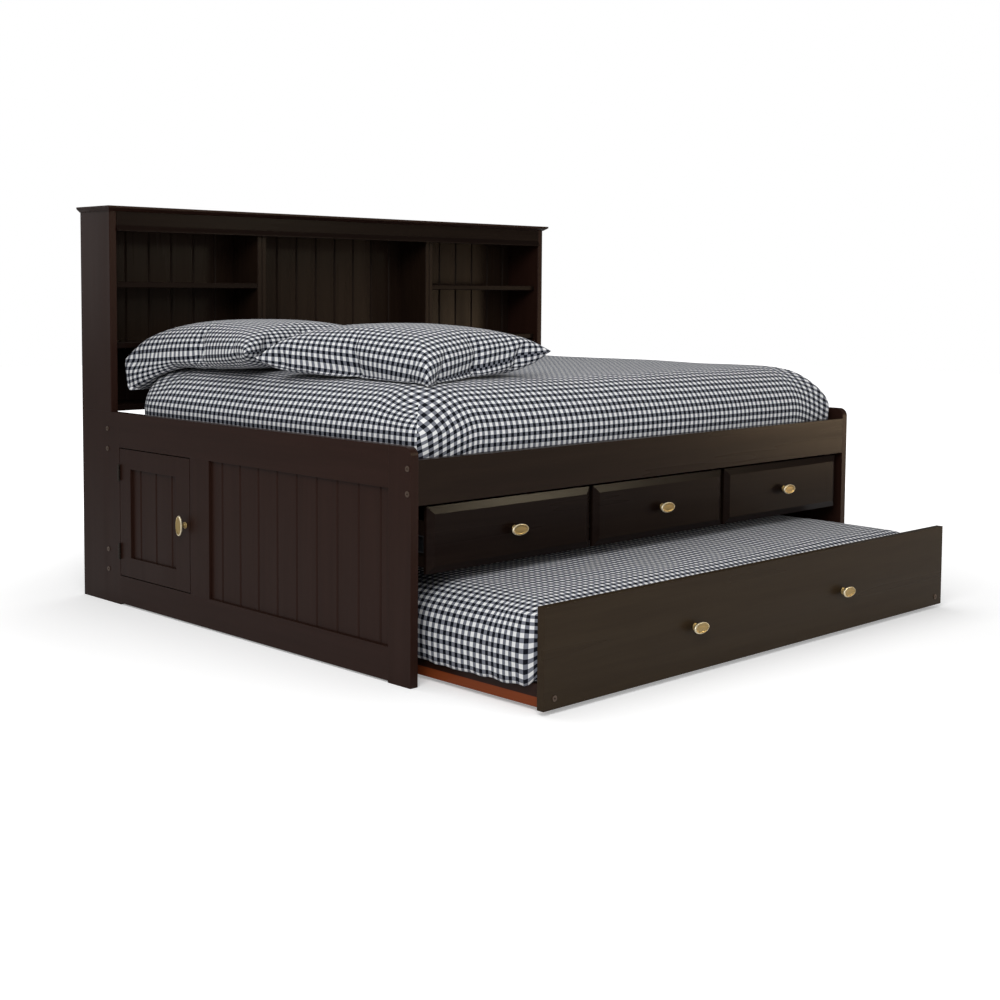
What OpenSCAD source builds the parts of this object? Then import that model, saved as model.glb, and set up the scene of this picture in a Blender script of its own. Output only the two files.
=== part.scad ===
/* [Bed] */
// Width over the two end panels
bed_w = 1956; // [1600:1:2200]
// Depth from the front of the end panels to the back of the bookcase
bed_d = 1588; // [1500:1:1750]
// Height over the bookcase cap
total_h = 1245; // [1150:1:1400]
// Height of the end panels
panel_h = 603; // [585:1:650]
// Thickness of end frames, side boards and bookcase sides
panel_t = 25; // [22:0.5:32]
// Width of the tall board at the back of each end
rear_board_w = 223; // [200:1:260]
// Gap between the bottom rails and the floor
foot_gap = 5; // [2:0.5:20]

/* [End frames] */
// Width of the front stile
front_stile_w = 85; // [60:1:110]
// Width of the stile between bead panel and door
mid_stile_w = 97; // [60:1:120]
// Width of the stile at the back of the plain right end
rear_stile_w = 65; // [50:1:90]
// Height of the top rail
top_rail_h = 108; // [90:1:120]
// Height of the bottom rail
bottom_rail_h = 87; // [70:1:110]
// Radius of the rounded front top corner
corner_r = 25; // [5:1:40]
// Depth of the bead panel behind the frame face
panel_recess = 8; // [4:0.5:12]
// Distance between bead grooves
bead_pitch = 87; // [50:1:120]
// Width of a bead groove
bead_w = 9; // [4:0.5:14]
// Depth of a bead groove
bead_depth = 4; // [2:0.5:6]

/* [Rails and slats] */
// How far the front and rear upper rails lie below the top of the end panels
rail_drop = 33; // [25:1:50]
// Height of the rail boards
rail_h = 114; // [95:1:125]
// Thickness of the rail boards
rail_t = 25; // [20:0.5:32]
// Distance from the back of the rear rails to the back of the bed
rear_rail_set = 141; // [125:1:160]
// Height of the lower edge of the rear lower rail
low_rail_z = 79; // [60:1:100]
// Height of the slat cleats
cleat_h = 30; // [20:1:36]
// Depth of the slat cleats
cleat_d = 32; // [22:1:45]
// Thickness of the slats
slat_t = 19; // [14:0.5:24]
// Width of one slat
slat_w = 70; // [50:1:90]
// Number of slats
slat_n = 14; // [8:1:16]
// Gap at each end of a slat
slat_gap = 1; // [0.5:0.5:4]

/* [Bookcase] */
// Depth of the bookcase sides
book_d = 177; // [165:1:200]
// Thickness of the cap
cap_t = 16; // [12:0.5:24]
// Overhang of the cap at the front
cap_front = 19; // [8:1:26]
// Overhang of the cap at each end
cap_side = 14; // [6:1:24]
// Height of the fascia under the cap
fascia_h = 61; // [40:1:90]
// Thickness of fascia and shelves
shelf_t = 19; // [14:0.5:24]
// Height of the moulding along the fascia
moulding_h = 20; // [8:0.5:24]
// How far that moulding stands out
moulding_out = 7; // [3:0.5:10]
// Thickness of one divider board
divider_t = 17.5; // [14:0.5:22]
// Seam between the two boards of a divider
divider_seam = 0.6; // [0.4:0.1:1.5]
// Size of the eased front edges of the bookcase boards
edge_ease = 2; // [0.5:0.5:4]
// Distance between the centre lines of the two dividers
divider_span = 767; // [600:1:900]
// Height of the lower shelves above the bookcase floor
lower_shelf_h = 176; // [140:1:220]
// Height of the upper shelves above the bookcase floor
upper_shelf_h = 367; // [320:1:400]
// Thickness of the planked back
back_t = 12; // [9:0.5:16]
// Gap under the bookcase floor, above the top of the end panels
book_lift = 2; // [0:0.5:6]

/* [Drawers] */
// Width of the middle drawer front
mid_drawer_w = 590; // [480:1:680]
// Gap between drawer fronts
drawer_gap = 14; // [8:0.5:20]
// Gap between the outer drawer fronts and the end panels
drawer_margin = 34; // [26:0.5:45]
// Gap between the drawer fronts and the front rail
drawer_reveal = 6; // [3:0.5:10]
// Thickness of a drawer front
front_t = 19; // [16:0.5:24]
// How far the drawer fronts stand proud of the end panels
front_proud = 2; // [0:0.5:5]
// Width of the bevel round a drawer front
bevel_w = 20; // [10:0.5:28]
// Depth of that bevel
bevel_d = 9; // [3:0.5:11]
// Depth of the drawer boxes behind their fronts
drawer_d = 483; // [400:1:560]
// Thickness of the drawer box walls
box_t = 12; // [9:0.5:15]
// Thickness of the drawer bottoms
bottom_t = 5; // [4:0.5:8]
// Space on each side of a drawer box for its runner
runner_w = 12.7; // [12:0.1:14]
// How far the runners end before the back of the drawer box
runner_short = 10; // [4:1:30]
// Height of the fixed runner channel
runner_h = 45; // [35:1:50]
// Thickness of the runner metal
runner_t = 1.2; // [1:0.1:1.6]
// Space between the case boards' front edges and the front of the end panels
case_set = 45; // [30:1:60]
// Gap between the drawer boxes and the case back
case_gap = 12; // [6:1:30]
// Height of the drawer box walls above the lower edge of the front
box_lift = 13; // [8:1:20]
// How far the drawer box walls end below the top edge of the front
box_drop = 40; // [20:1:60]
// Height of the drawer bottom above the lower edge of the walls
bottom_lift = 6; // [4:0.5:12]
// Clearance between fixed and moving runner
runner_gap = 0.6; // [0.4:0.1:1]
// Thickness of the drawer case boards
case_t = 19; // [15:0.5:22]

/* [Trundle] */
// Height of the trundle front board
trundle_h = 246; // [225:1:255]
// Gap between the trundle front board and the floor
trundle_lift = 12; // [8:0.5:18]
// Thickness of the trundle front board
trundle_t = 21; // [16:0.5:26]
// Depth of the trundle
trundle_d = 998; // [930:1:1040]
// Gap between the trundle front and each end panel
trundle_side_gap = 38.5; // [10:0.5:60]
// How far the trundle sides stand in from the front board's ends
trundle_inset = 24.5; // [15:0.5:40]
// Thickness of the trundle side boards
trundle_side_t = 25; // [19:0.5:30]
// Gap between the trundle top and the drawers
bay_clear = 21; // [12:0.5:30]
// How far the closed trundle front stands behind the end panels' fronts
trundle_set = 7; // [0:0.5:15]
// How far the trundle is pulled out
trundle_pull = 401; // [300:1:560]
// Height of the trundle deck's upper face
deck_top = 66; // [62:1:80]
// Thickness of the trundle back board
trundle_back_t = 19; // [15:0.5:25]
// Width of the rail under the middle of the deck
centre_rail_w = 24; // [18:1:40]
// Height of the rail under the middle of the deck
centre_rail_h = 28; // [18:1:34]
// Thickness of the trundle deck slats
deck_t = 12; // [9:0.5:15]
// Width of one deck slat
deck_slat_w = 95; // [80:1:105]
// Number of deck slats
deck_n = 8; // [6:1:8]
// Gap between the trundle boards and the floor
deck_lift = 10; // [6:0.5:18]
// Radius of the trundle wheels
wheel_r = 22; // [18:0.5:24]
// Width of the trundle wheels
wheel_w = 18; // [14:0.5:22]
// Radius of the wheel axles
axle_r = 4; // [3:0.25:5]
// Radial clearance between wheel bore and axle
axle_fit = 0.05; // [0.03:0.01:0.09]
// Gap between a wheel and each cheek of its bracket
wheel_side_gap = 0.5; // [0.4:0.1:1.5]
// Thickness of the caster brackets
cheek_t = 3; // [2:0.5:4]
// Width of a bracket cheek
cheek_w = 18; // [14:1:24]
// Width of a bracket plate along the trundle's travel
plate_w = 44; // [30:1:60]
// How far a bracket plate reaches past its cheeks
plate_over = 11; // [6:1:20]
// Distance of each wheel from the trundle's side board
wheel_inset = 60; // [40:1:120]

/* [Storage and door] */
// Width of the door bay
door_bay = 392; // [350:1:420]
// Gap round the door
door_gap = 3; // [2:0.25:4]
// Thickness of the door
door_t = 20; // [17:0.5:22]
// Width of the door's front stile
door_stile_w = 73; // [50:1:85]
// Width of the door's hinge stile
hinge_stile_w = 60; // [45:1:80]
// Height of the door's top and bottom rail
door_rail_h = 60; // [45:1:80]
// Thickness of the storage partition, floor and case back
inner_t = 18; // [12:0.5:20]
// Thickness of the storage back board
storage_back_t = 9; // [6:0.5:12]
// Thickness of the storage floor
storage_floor_t = 12; // [9:0.5:18]
// Gap between the closed trundle and the storage partition
partition_gap = 6; // [4:0.5:20]
// Height of the door catch
catch_h = 40; // [25:1:60]
// Width of the door catch
catch_w = 14; // [8:1:24]
// Gap between the closed door and its catch
catch_gap = 0.5; // [0.3:0.1:2]
// Length of a hinge
hinge_len = 50; // [36:1:64]
// Distance of each hinge from the door's top or bottom edge
hinge_inset = 75; // [50:1:100]
// Radius of the hinge knuckles
knuckle_r = 4; // [3.5:0.1:4.3]
// Thickness of a hinge leaf
leaf_t = 1.2; // [0.8:0.1:1.3]
// Gap between the hinge knuckles and the end frame's face
hinge_gap = 0.4; // [0.3:0.1:1]
// Gap between neighbouring knuckles of a hinge
knuckle_gap = 0.4; // [0.3:0.1:0.8]
// Radius of the hinge pins
pin_r = 1.5; // [1.2:0.1:2]
// Radial clearance between hinge pin and door knuckle
pin_fit = 0.05; // [0.03:0.01:0.09]

/* [Knobs and bolts] */
// Length of an oval knob
knob_len = 60; // [45:1:75]
// Height of an oval knob
knob_h = 30; // [22:1:38]
// How far a knob stands out
knob_out = 25; // [20:0.5:32]
// Radius of the knob stem
knob_stem_r = 5.5; // [4:0.5:8]
// Distance between the two trundle knobs
trundle_knob_span = 694; // [400:1:1000]
// Height of the trundle knobs above the floor
trundle_knob_z = 128; // [90:1:170]
// Distance of the door knob from the door's front edge
door_knob_inset = 24; // [20:1:34]
// Radius of a bolt head
bolt_head_r = 7.5; // [6:0.5:10]
// Thickness of a bolt head
bolt_head_t = 2; // [1.5:0.5:4]
// Radius of a bolt shank
bolt_r = 3; // [2:0.5:4]
// Clearance round a bolt shank
bolt_clear = 0.3; // [0.2:0.1:0.6]
// How deep a bolt goes into its rail
bolt_depth = 40; // [25:1:60]
// Distance between the two bolts of a rail
bolt_pair = 63; // [40:1:70]
// How far the upper bolt pairs sit above their rail's middle
bolt_rise = 5; // [0:0.5:8]

/* [Mattresses and pillows] */
// Gap between the main mattress and each end panel
mattress_side_gap = 23; // [4:1:40]
// Gap between the main mattress and the bookcase
mattress_back_gap = 32; // [15:1:60]
// Height of the main mattress
mattress_h = 240; // [150:1:280]
// Plan radius of the mattress corners
mattress_r = 115; // [60:1:160]
// Gap between the front rail and the main mattress
mattress_gap = 8; // [2:0.5:14]
// Height of the trundle mattress
pull_mattress_h = 185; // [140:1:200]
// Overhang of the trundle mattress past its side boards
pull_mattress_over = 16; // [0:0.5:22]
// Width of a pillow from head to foot
pillow_w = 590; // [500:1:640]
// Length of a pillow across the bed
pillow_d = 700; // [600:1:740]
// Height of a pillow
pillow_h = 172; // [120:1:220]
// How far the back pillow reaches past the mattress
pillow_over = 50; // [30:1:50]
// How far the back pillow lies in from the mattress edge
pillow_edge = 5; // [2:1:40]
// Width of the hem that hangs down behind the mattress
hem_w = 215; // [120:1:300]
// How far the hem hangs below the mattress top
hem_drop = 45; // [10:1:80]
// Gap between the hem and the mattress
hem_gap = 7; // [4:1:14]
// How far the front pillow leans over the back one
pillow_lap = 150; // [120:1:240]
// How far the front pillow lies in from the mattress edge
pillow_step = 70; // [50:1:240]
// Angle by which the front pillow lies turned
pillow_turn = 5; // [0:1:12]
// Gap between soft pieces and what they rest on
soft_gap = 0.3; // [0.2:0.1:1]

/* [Hidden] */

espresso = "#2b1d1a";
inner_wood = "#33221d";
antique = "#8a7448";
steel = "#9a9ca0";
rubber = "#2a2a2c";
ticking = "#d9d9dc";

// main planes across the bed
x_out = bed_w / 2;
x_in = x_out - panel_t;
// main planes from front to back, the end panels' front edges at 0
side_d = bed_d - rear_board_w;
mid_y1 = side_d - door_bay;
mid_y0 = mid_y1 - mid_stile_w;
rear_rail_y1 = bed_d - rear_rail_set;
rear_rail_y0 = rear_rail_y1 - rail_t;
book_y0 = bed_d - book_d;
book_y1 = bed_d - back_t;
partition_y0 = trundle_set + trundle_d + partition_gap;
partition_y1 = partition_y0 + inner_t;
// main planes in height
bottom_z1 = foot_gap + bottom_rail_h;
top_z0 = panel_h - top_rail_h;
rail_top = panel_h - rail_drop;
rail_z0 = rail_top - rail_h;
cleat_z1 = rail_z0 + cleat_h;
base_z = cleat_z1 + slat_t;
cap_z = total_h - cap_t;
fascia_z0 = cap_z - fascia_h;
book_z0 = panel_h + book_lift;
book_z1 = book_z0 + shelf_t;
// drawers
drawer_z1 = rail_z0 - drawer_reveal;
drawer_z0 = trundle_lift + trundle_h + bay_clear;
drawer_y0 = -front_proud;
drawer_y1 = drawer_y0 + front_t;
box_y1 = drawer_y1 + drawer_d;
box_z0 = drawer_z0 + box_lift;
box_z1 = drawer_z1 - box_drop;
case_y0 = case_set;
case_y1 = box_y1 + case_gap;
side_drawer_w = (2 * x_in - 2 * drawer_margin - 2 * drawer_gap - mid_drawer_w) / 2;
side_drawer_x = mid_drawer_w / 2 + drawer_gap + side_drawer_w / 2;
box_inset = case_t / 2 + runner_w - drawer_gap / 2;
case_x = mid_drawer_w / 2 + drawer_gap / 2;
outer_case_x = side_drawer_x + side_drawer_w / 2 - box_inset + runner_w;
runner_z0 = box_z0 + (box_z1 - box_z0 - runner_h) / 2;
runner_y1 = box_y1 - runner_short;

// trundle, pulled out
trundle_y0 = trundle_set - trundle_pull;
trundle_y1 = trundle_y0 + trundle_t;
trundle_y2 = trundle_y0 + trundle_d;
trundle_x = x_in - trundle_side_gap;
trundle_z1 = trundle_lift + trundle_h;
tside_x1 = trundle_x - trundle_inset;
tside_x0 = tside_x1 - trundle_side_t;
deck_y1 = trundle_y2 - trundle_back_t;
deck_pitch = (deck_y1 - trundle_y1 - deck_slat_w) / (deck_n - 1);
wheel_x = tside_x0 - wheel_inset;
wheel_y_front = trundle_y1 + deck_slat_w / 2;
wheel_y_back = deck_y1 - deck_slat_w / 2;
cheek_x = wheel_w / 2 + wheel_side_gap;
// door, closed in its bay
door_y0 = mid_y1 + door_gap;
door_y1 = side_d - door_gap;
door_z0 = bottom_z1 + door_gap;
door_z1 = top_z0 - door_gap;
pin_x = -x_out - knuckle_r - hinge_gap;
pin_y = side_d - door_gap / 2;
// the origin lies under the middle of the box round the bed with its trundle pulled out
front_y = -(bed_d + trundle_y0 - knob_out) / 2;
bed_x = (max(knob_out, cap_side) - cap_side) / 2;

module at_bed() {
    translate([bed_x, front_y, 0]) children();
}

module span(a, b) {
    translate(a) cube(b - a);
}

// an outline in Y and Z, made t thick along +X from x
module yz(x, t) {
    translate([x, 0, 0]) rotate([90, 0, 90]) linear_extrude(t) children();
}

// an outline in X and Y, made h high from z
module xy(z, h) {
    translate([0, 0, z]) linear_extrude(h) children();
}

module round_rect(w, d, r) {
    square([w, d - 2 * r], center = true);
    square([w - 2 * r, d], center = true);
    for (sx = [-1, 1], sy = [-1, 1])
        translate([sx * (w / 2 - r), sy * (d / 2 - r)]) circle(r, $fn = 32);
}

// board outline from u0 to u1, its face at v = 0 cut with bead grooves, its back at v = t
function bead_line(u0, u1, first, t) =
    let (n = floor((u1 - bead_w - first) / bead_pitch))
    concat([[u0, 0]],
        [for (i = [0 : n], k = [-1, 0, 1])
            [first + i * bead_pitch + k * bead_w / 2, k == 0 ? bead_depth : 0]],
        [[u1, 0], [u1, t], [u0, t]]);

// bead board standing across X: side -1 shows its beads to -X, side 1 to +X
module bead_board(side, x_face, y0, y1, z0, z1, first, t) {
    pts = bead_line(y0, y1, first, t);
    xy(z0, z1 - z0) polygon([for (p = pts) [side * (x_face - p[1]), p[0]]]);
}

module front_stile(x, side) {
    difference() {
        yz(x, panel_t) difference() {
            square([front_stile_w, panel_h]);
            translate([0, panel_h - corner_r]) difference() {
                translate([-1, 0]) square([corner_r + 1, corner_r + 1]);
                translate([corner_r, 0]) circle(corner_r, $fn = 64);
            }
        }
        for (s = [-1, 1]) bolt_hole(x - 1, panel_t + 2, rail_t / 2, upper_bolt_z(s));
    }
}

module bolt_hole(x, len, y, z) {
    translate([x, y, z]) rotate([0, 90, 0]) cylinder(r = bolt_r + bolt_clear, h = len, $fn = 32);
}

function upper_bolt_z(s) = rail_z0 + rail_h / 2 + bolt_rise + s * bolt_pair / 2;
function lower_bolt_z(s) = low_rail_z + rail_h / 2 + s * bolt_pair / 2;
rear_bolt_y = rear_rail_y0 + rail_t / 2;

// bolt holes in both ends of a rail that lies between the end panels
module rail_end_holes(y, upper) {
    for (s = [-1, 1], e = [-1, 1])
        bolt_hole(e > 0 ? x_in - bolt_depth - 1 : -x_in - 1, bolt_depth + 2, y,
            upper ? upper_bolt_z(s) : lower_bolt_z(s));
}

module left_stiles() {
    color(espresso) at_bed() {
        front_stile(-x_out, -1);
        span([-x_out, mid_y0, bottom_z1], [-x_in, mid_y1, top_z0]);
    }
}

module left_rails() {
    color(espresso) at_bed() {
        span([-x_out, front_stile_w, top_z0], [-x_in, side_d, panel_h]);
        span([-x_out, front_stile_w, foot_gap], [-x_in, side_d, bottom_z1]);
    }
}

module left_bead_panel() {
    color(espresso) at_bed()
        bead_board(-1, x_out - panel_recess, front_stile_w, mid_y0, bottom_z1, top_z0,
            front_stile_w + bead_pitch / 2 - 6, panel_t - panel_recess);
}

module right_stiles() {
    color(espresso) at_bed() {
        front_stile(x_in, 1);
        span([x_in, mid_y0, bottom_z1], [x_out, mid_y1, top_z0]);
        span([x_in, side_d - rear_stile_w, bottom_z1], [x_out, side_d, top_z0]);
    }
}

module right_rails() {
    color(espresso) at_bed() {
        span([x_in, front_stile_w, top_z0], [x_out, side_d, panel_h]);
        span([x_in, front_stile_w, foot_gap], [x_out, side_d, bottom_z1]);
    }
}

module right_bead_panels() {
    color(espresso) at_bed() {
        bead_board(1, x_out - panel_recess, front_stile_w, mid_y0, bottom_z1, top_z0,
            front_stile_w + bead_pitch / 2 - 6, panel_t - panel_recess);
        bead_board(1, x_out - panel_recess, mid_y1, side_d - rear_stile_w, bottom_z1, top_z0,
            mid_y1 + bead_pitch / 2 - 6, panel_t - panel_recess);
    }
}

module rear_side_boards() {
    color(espresso) at_bed()
        for (e = [-1, 1]) difference() {
            span([e > 0 ? x_in : -x_out, side_d, 0], [e > 0 ? x_out : -x_in, bed_d, panel_h]);
            for (s = [-1, 1]) {
                bolt_hole(e > 0 ? x_in - 1 : -x_out - 1, panel_t + 2, rear_bolt_y, upper_bolt_z(s));
                bolt_hole(e > 0 ? x_in - 1 : -x_out - 1, panel_t + 2, rear_bolt_y, lower_bolt_z(s));
            }
        }
}

module front_rail() {
    color(espresso) at_bed() difference() {
        span([-x_in, 0, rail_z0], [x_in, rail_t, rail_top]);
        rail_end_holes(rail_t / 2, true);
    }
}

module rear_upper_rail() {
    color(espresso) at_bed() difference() {
        span([-x_in, rear_rail_y0, rail_z0], [x_in, rear_rail_y1, rail_top]);
        rail_end_holes(rear_bolt_y, true);
    }
}

module rear_lower_rail() {
    color(espresso) at_bed() difference() {
        span([-x_in, rear_rail_y0, low_rail_z], [x_in, rear_rail_y1, low_rail_z + rail_h]);
        rail_end_holes(rear_bolt_y, false);
    }
}

module slat_cleats() {
    color(inner_wood) at_bed() {
        span([-x_in, rail_t, rail_z0], [x_in, rail_t + cleat_d, cleat_z1]);
        span([-x_in, rear_rail_y0 - cleat_d, rail_z0], [x_in, rear_rail_y0, cleat_z1]);
    }
}

module slats() {
    pitch = (2 * x_in - 2 * slat_gap - slat_w) / (slat_n - 1);
    color(inner_wood) at_bed()
        for (i = [0 : slat_n - 1])
            span([-x_in + slat_gap + i * pitch, rail_t + slat_gap, cleat_z1],
                [-x_in + slat_gap + i * pitch + slat_w, rear_rail_y0 - slat_gap, base_z]);
}

// upright board whose two front edges are eased
module eased_upright(a, b) {
    e = edge_ease;
    xy(a[2], b[2] - a[2]) polygon([[a[0] + e, a[1]], [b[0] - e, a[1]], [b[0], a[1] + e],
        [b[0], b[1]], [a[0], b[1]], [a[0], a[1] + e]]);
}

// level board along X whose two front edges are eased
module eased_shelf(a, b) {
    e = edge_ease;
    yz(a[0], b[0] - a[0]) polygon([[a[1] + e, a[2]], [b[1], a[2]], [b[1], b[2]],
        [a[1] + e, b[2]], [a[1], b[2] - e], [a[1], a[2] + e]]);
}

module bookcase_sides() {
    color(espresso) at_bed()
        for (e = [-1, 1])
            eased_upright([e > 0 ? x_in : -x_out, book_y0, panel_h],
                [e > 0 ? x_out : -x_in, bed_d, cap_z]);
}

// flat board with a cove cut under its front and its two ends
module bookcase_cap() {
    lip = cap_t * 0.4;
    color(espresso) at_bed() {
        span([-x_out - cap_side, book_y0 - cap_front, total_h - lip],
            [x_out + cap_side, bed_d, total_h]);
        hull() {
            span([-x_out - cap_side + 2, book_y0 - cap_front + 2, total_h - lip - 1],
                [x_out + cap_side - 2, bed_d, total_h - lip]);
            span([-x_out - cap_side * 0.5, book_y0 - cap_front * 0.5, total_h - lip - 4],
                [x_out + cap_side * 0.5, bed_d, total_h - lip]);
            span([-x_out - 2, book_y0 - 2, cap_z], [x_out + 2, bed_d, cap_z + 1]);
        }
    }
}

module fascia() {
    color(espresso) at_bed()
        span([-x_in, book_y0, fascia_z0], [x_in, book_y0 + shelf_t, cap_z]);
}

// strip with a sloping face and a small lip along the foot of the fascia
module fascia_moulding() {
    lip = moulding_out * 0.25;
    color(espresso) at_bed()
        yz(-x_in, 2 * x_in) translate([book_y0, fascia_z0])
            polygon([[0, 0], [-moulding_out, 0], [-moulding_out, 2 * lip],
                [-lip, moulding_h - lip], [-lip, moulding_h], [0, moulding_h]]);
}

module bookcase_dividers() {
    color(espresso) at_bed()
        for (e = [-1, 1], s = [-1, 1]) {
            xc = e * divider_span / 2 + s * (divider_t + divider_seam) / 2;
            eased_upright([xc - divider_t / 2, book_y0 + shelf_t, book_z1],
                [xc + divider_t / 2, book_y1, cap_z]);
        }
}

// one shelf in the left and one in the right bay, its underside h above the bookcase floor
module shelf_pair(h) {
    divider_out = divider_span / 2 + divider_seam / 2 + divider_t;
    for (e = [-1, 1])
        eased_shelf([e > 0 ? divider_out : -x_in, book_y0 + shelf_t + edge_ease, book_z1 + h],
            [e > 0 ? x_in : -divider_out, book_y1, book_z1 + h + shelf_t]);
}

module upper_shelves() {
    color(espresso) at_bed() shelf_pair(upper_shelf_h);
}

module lower_shelves() {
    color(espresso) at_bed() shelf_pair(lower_shelf_h);
}

module bookcase_floor() {
    color(espresso) at_bed() span([-x_in, book_y0, book_z0], [x_in, book_y1, book_z1]);
}

// planked back, its grooves facing the front
module bookcase_back() {
    pts = bead_line(-x_in, x_in, -x_in + bead_pitch / 2, back_t);
    color(espresso) at_bed()
        xy(book_z0, cap_z - book_z0) polygon([for (p = pts) [p[0], book_y1 + p[1]]]);
}

// boards that carry the runners, the outer ones packed out to the end panels
module case_boards() {
    color(inner_wood) at_bed() {
        for (e = [-1, 1]) {
            span([e * case_x - case_t / 2, case_y0, drawer_z0],
                [e * case_x + case_t / 2, case_y1, rail_z0]);
            span([e * case_x - case_t / 2, rail_t + cleat_d, rail_z0],
                [e * case_x + case_t / 2, case_y1, cleat_z1]);
            span([e > 0 ? outer_case_x : -x_in, case_y0, drawer_z0],
                [e > 0 ? x_in : -outer_case_x, case_y1, rail_z0]);
        }
    }
}

module case_back() {
    color(inner_wood) at_bed()
        span([-x_in, case_y1, drawer_z0], [x_in, case_y1 + inner_t, cleat_z1]);
}

// channel on the board at x that opens towards dir
module fixed_runner(x, dir) {
    z1 = runner_z0 + runner_h;
    deep = runner_w - 3.2;
    a = dir > 0 ? x : x - deep;
    translate([0, 0, 0]) difference() {
        span([a, case_y0, runner_z0], [a + deep, runner_y1, z1]);
        span([dir > 0 ? x + runner_t : x - deep - 1, case_y0 - 1, runner_z0 + runner_t],
            [dir > 0 ? x + deep + 1 : x - runner_t, runner_y1 + 1, z1 - runner_t]);
    }
}

module case_runners() {
    color(steel) at_bed() {
        for (e = [-1, 1]) {
            fixed_runner(e * case_x + case_t / 2, 1);
            fixed_runner(e * case_x - case_t / 2, -1);
            fixed_runner(e * outer_case_x, -e);
        }
    }
}

module storage_partition() {
    color(inner_wood) at_bed()
        span([-x_in, partition_y0, foot_gap], [x_in, partition_y1, cleat_z1]);
}

module storage_floor() {
    color(inner_wood) at_bed()
        span([-x_in, partition_y1, bottom_z1 - storage_floor_t], [x_in, rear_rail_y0, bottom_z1]);
}

module storage_back() {
    color(inner_wood) at_bed()
        span([-x_in, rear_rail_y0 - storage_back_t, bottom_z1], [x_in, rear_rail_y0, rail_z0]);
}

// bolt whose head seats on the face at x, with its shank along +X for dir 1
module bolt(x, y, z, dir, len) {
    translate([x, y, z]) rotate([0, dir * 90, 0]) difference() {
        union() {
            translate([0, 0, -bolt_head_t]) cylinder(r = bolt_head_r, h = bolt_head_t, $fn = 32);
            cylinder(r = bolt_r, h = len, $fn = 24);
        }
        translate([0, 0, -bolt_head_t - 1]) cylinder(r = bolt_r * 0.9, h = bolt_head_t + 2, $fn = 6);
    }
}

module frame_bolts() {
    len = panel_t + bolt_depth;
    color(antique) at_bed()
        for (e = [-1, 1], s = [-1, 1]) {
            bolt(e * x_out, rail_t / 2, upper_bolt_z(s), -e, len);
            bolt(e * x_out, rear_bolt_y, upper_bolt_z(s), -e, len);
            bolt(e * x_out, rear_bolt_y, lower_bolt_z(s), -e, len);
        }
}

leaf_w = door_t - 2;
hinge_z = [door_z0 + hinge_inset, door_z1 - hinge_inset];

// outer knuckles with their pin, and the leaf on the tall board's edge
module frame_hinges() {
    third = hinge_len / 3;
    g = knuckle_gap / 2;
    color(antique) at_bed()
        for (z = hinge_z) {
            for (s = [-1, 1]) {
                translate([pin_x, pin_y, z + s * third - third / 2 + g])
                    cylinder(r = knuckle_r, h = third - 2 * g, $fn = 32);
                span([pin_x, side_d - leaf_t, z + s * third - third / 2 + g],
                    [-x_out + 1, side_d, z + s * third + third / 2 - g]);
            }
            translate([pin_x, pin_y, z - hinge_len / 2 + g])
                cylinder(r = pin_r, h = hinge_len - 2 * g, $fn = 24);
            span([-x_out, side_d - leaf_t, z - hinge_len / 2 + g],
                [-x_out + leaf_w, side_d, z + hinge_len / 2 - g]);
        }
}

// middle knuckle and the leaf on the door's edge
module door_hinges() {
    third = hinge_len / 3;
    g = knuckle_gap / 2;
    color(antique) at_bed()
        for (z = hinge_z) difference() {
            union() {
                translate([pin_x, pin_y, z - third / 2 + g])
                    cylinder(r = knuckle_r, h = third - 2 * g, $fn = 32);
                span([pin_x, door_y1, z - third / 2 + g],
                    [-x_out + 1, door_y1 + leaf_t, z + third / 2 - g]);
                span([-x_out, door_y1, z - hinge_len / 2 + g],
                    [-x_out + leaf_w, door_y1 + leaf_t, z + hinge_len / 2 - g]);
            }
            translate([pin_x, pin_y, z - third / 2])
                cylinder(r = pin_r + pin_fit, h = third, $fn = 24);
        }
}

// stop block with a magnet face behind the door's front edge
module door_catch() {
    color(steel) at_bed()
        span([-x_out + door_t + catch_gap, mid_y1, door_z1 - 1.5 * catch_h],
            [-x_in, mid_y1 + catch_w, door_z1 - 0.5 * catch_h]);
}

module door_frame() {
    color(espresso) at_bed() difference() {
        span([-x_out, door_y0, door_z0], [-x_out + door_t, door_y1, door_z1]);
        span([-x_out - 1, door_y0 + door_stile_w, door_z0 + door_rail_h],
            [-x_out + door_t + 1, door_y1 - hinge_stile_w, door_z1 - door_rail_h]);
    }
}

module door_panel() {
    color(espresso) at_bed()
        bead_board(-1, x_out - panel_recess, door_y0 + door_stile_w, door_y1 - hinge_stile_w,
            door_z0 + door_rail_h, door_z1 - door_rail_h,
            door_y0 + door_stile_w + bead_pitch / 2 - 12, door_t - panel_recess);
}

// rings of the knob from its foot to its face: half length, half height, height above the foot
function knob_rings(a, b, r, h) = [
    [r * 1.8, r * 1.8, 0], [r * 1.8, r * 1.8, h * 0.08], [r, r, h * 0.16], [r, r, h * 0.5],
    [a * 0.62, b * 0.66, h * 0.6], [a * 0.9, b * 0.9, h * 0.72], [a, b, h * 0.82],
    [a, b, h * 0.92], [a * 0.93, b * 0.88, h], [a * 0.84, b * 0.72, h],
    [a * 0.78, b * 0.6, h * 0.93], [a * 0.3, b * 0.24, h * 0.97]];

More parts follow.
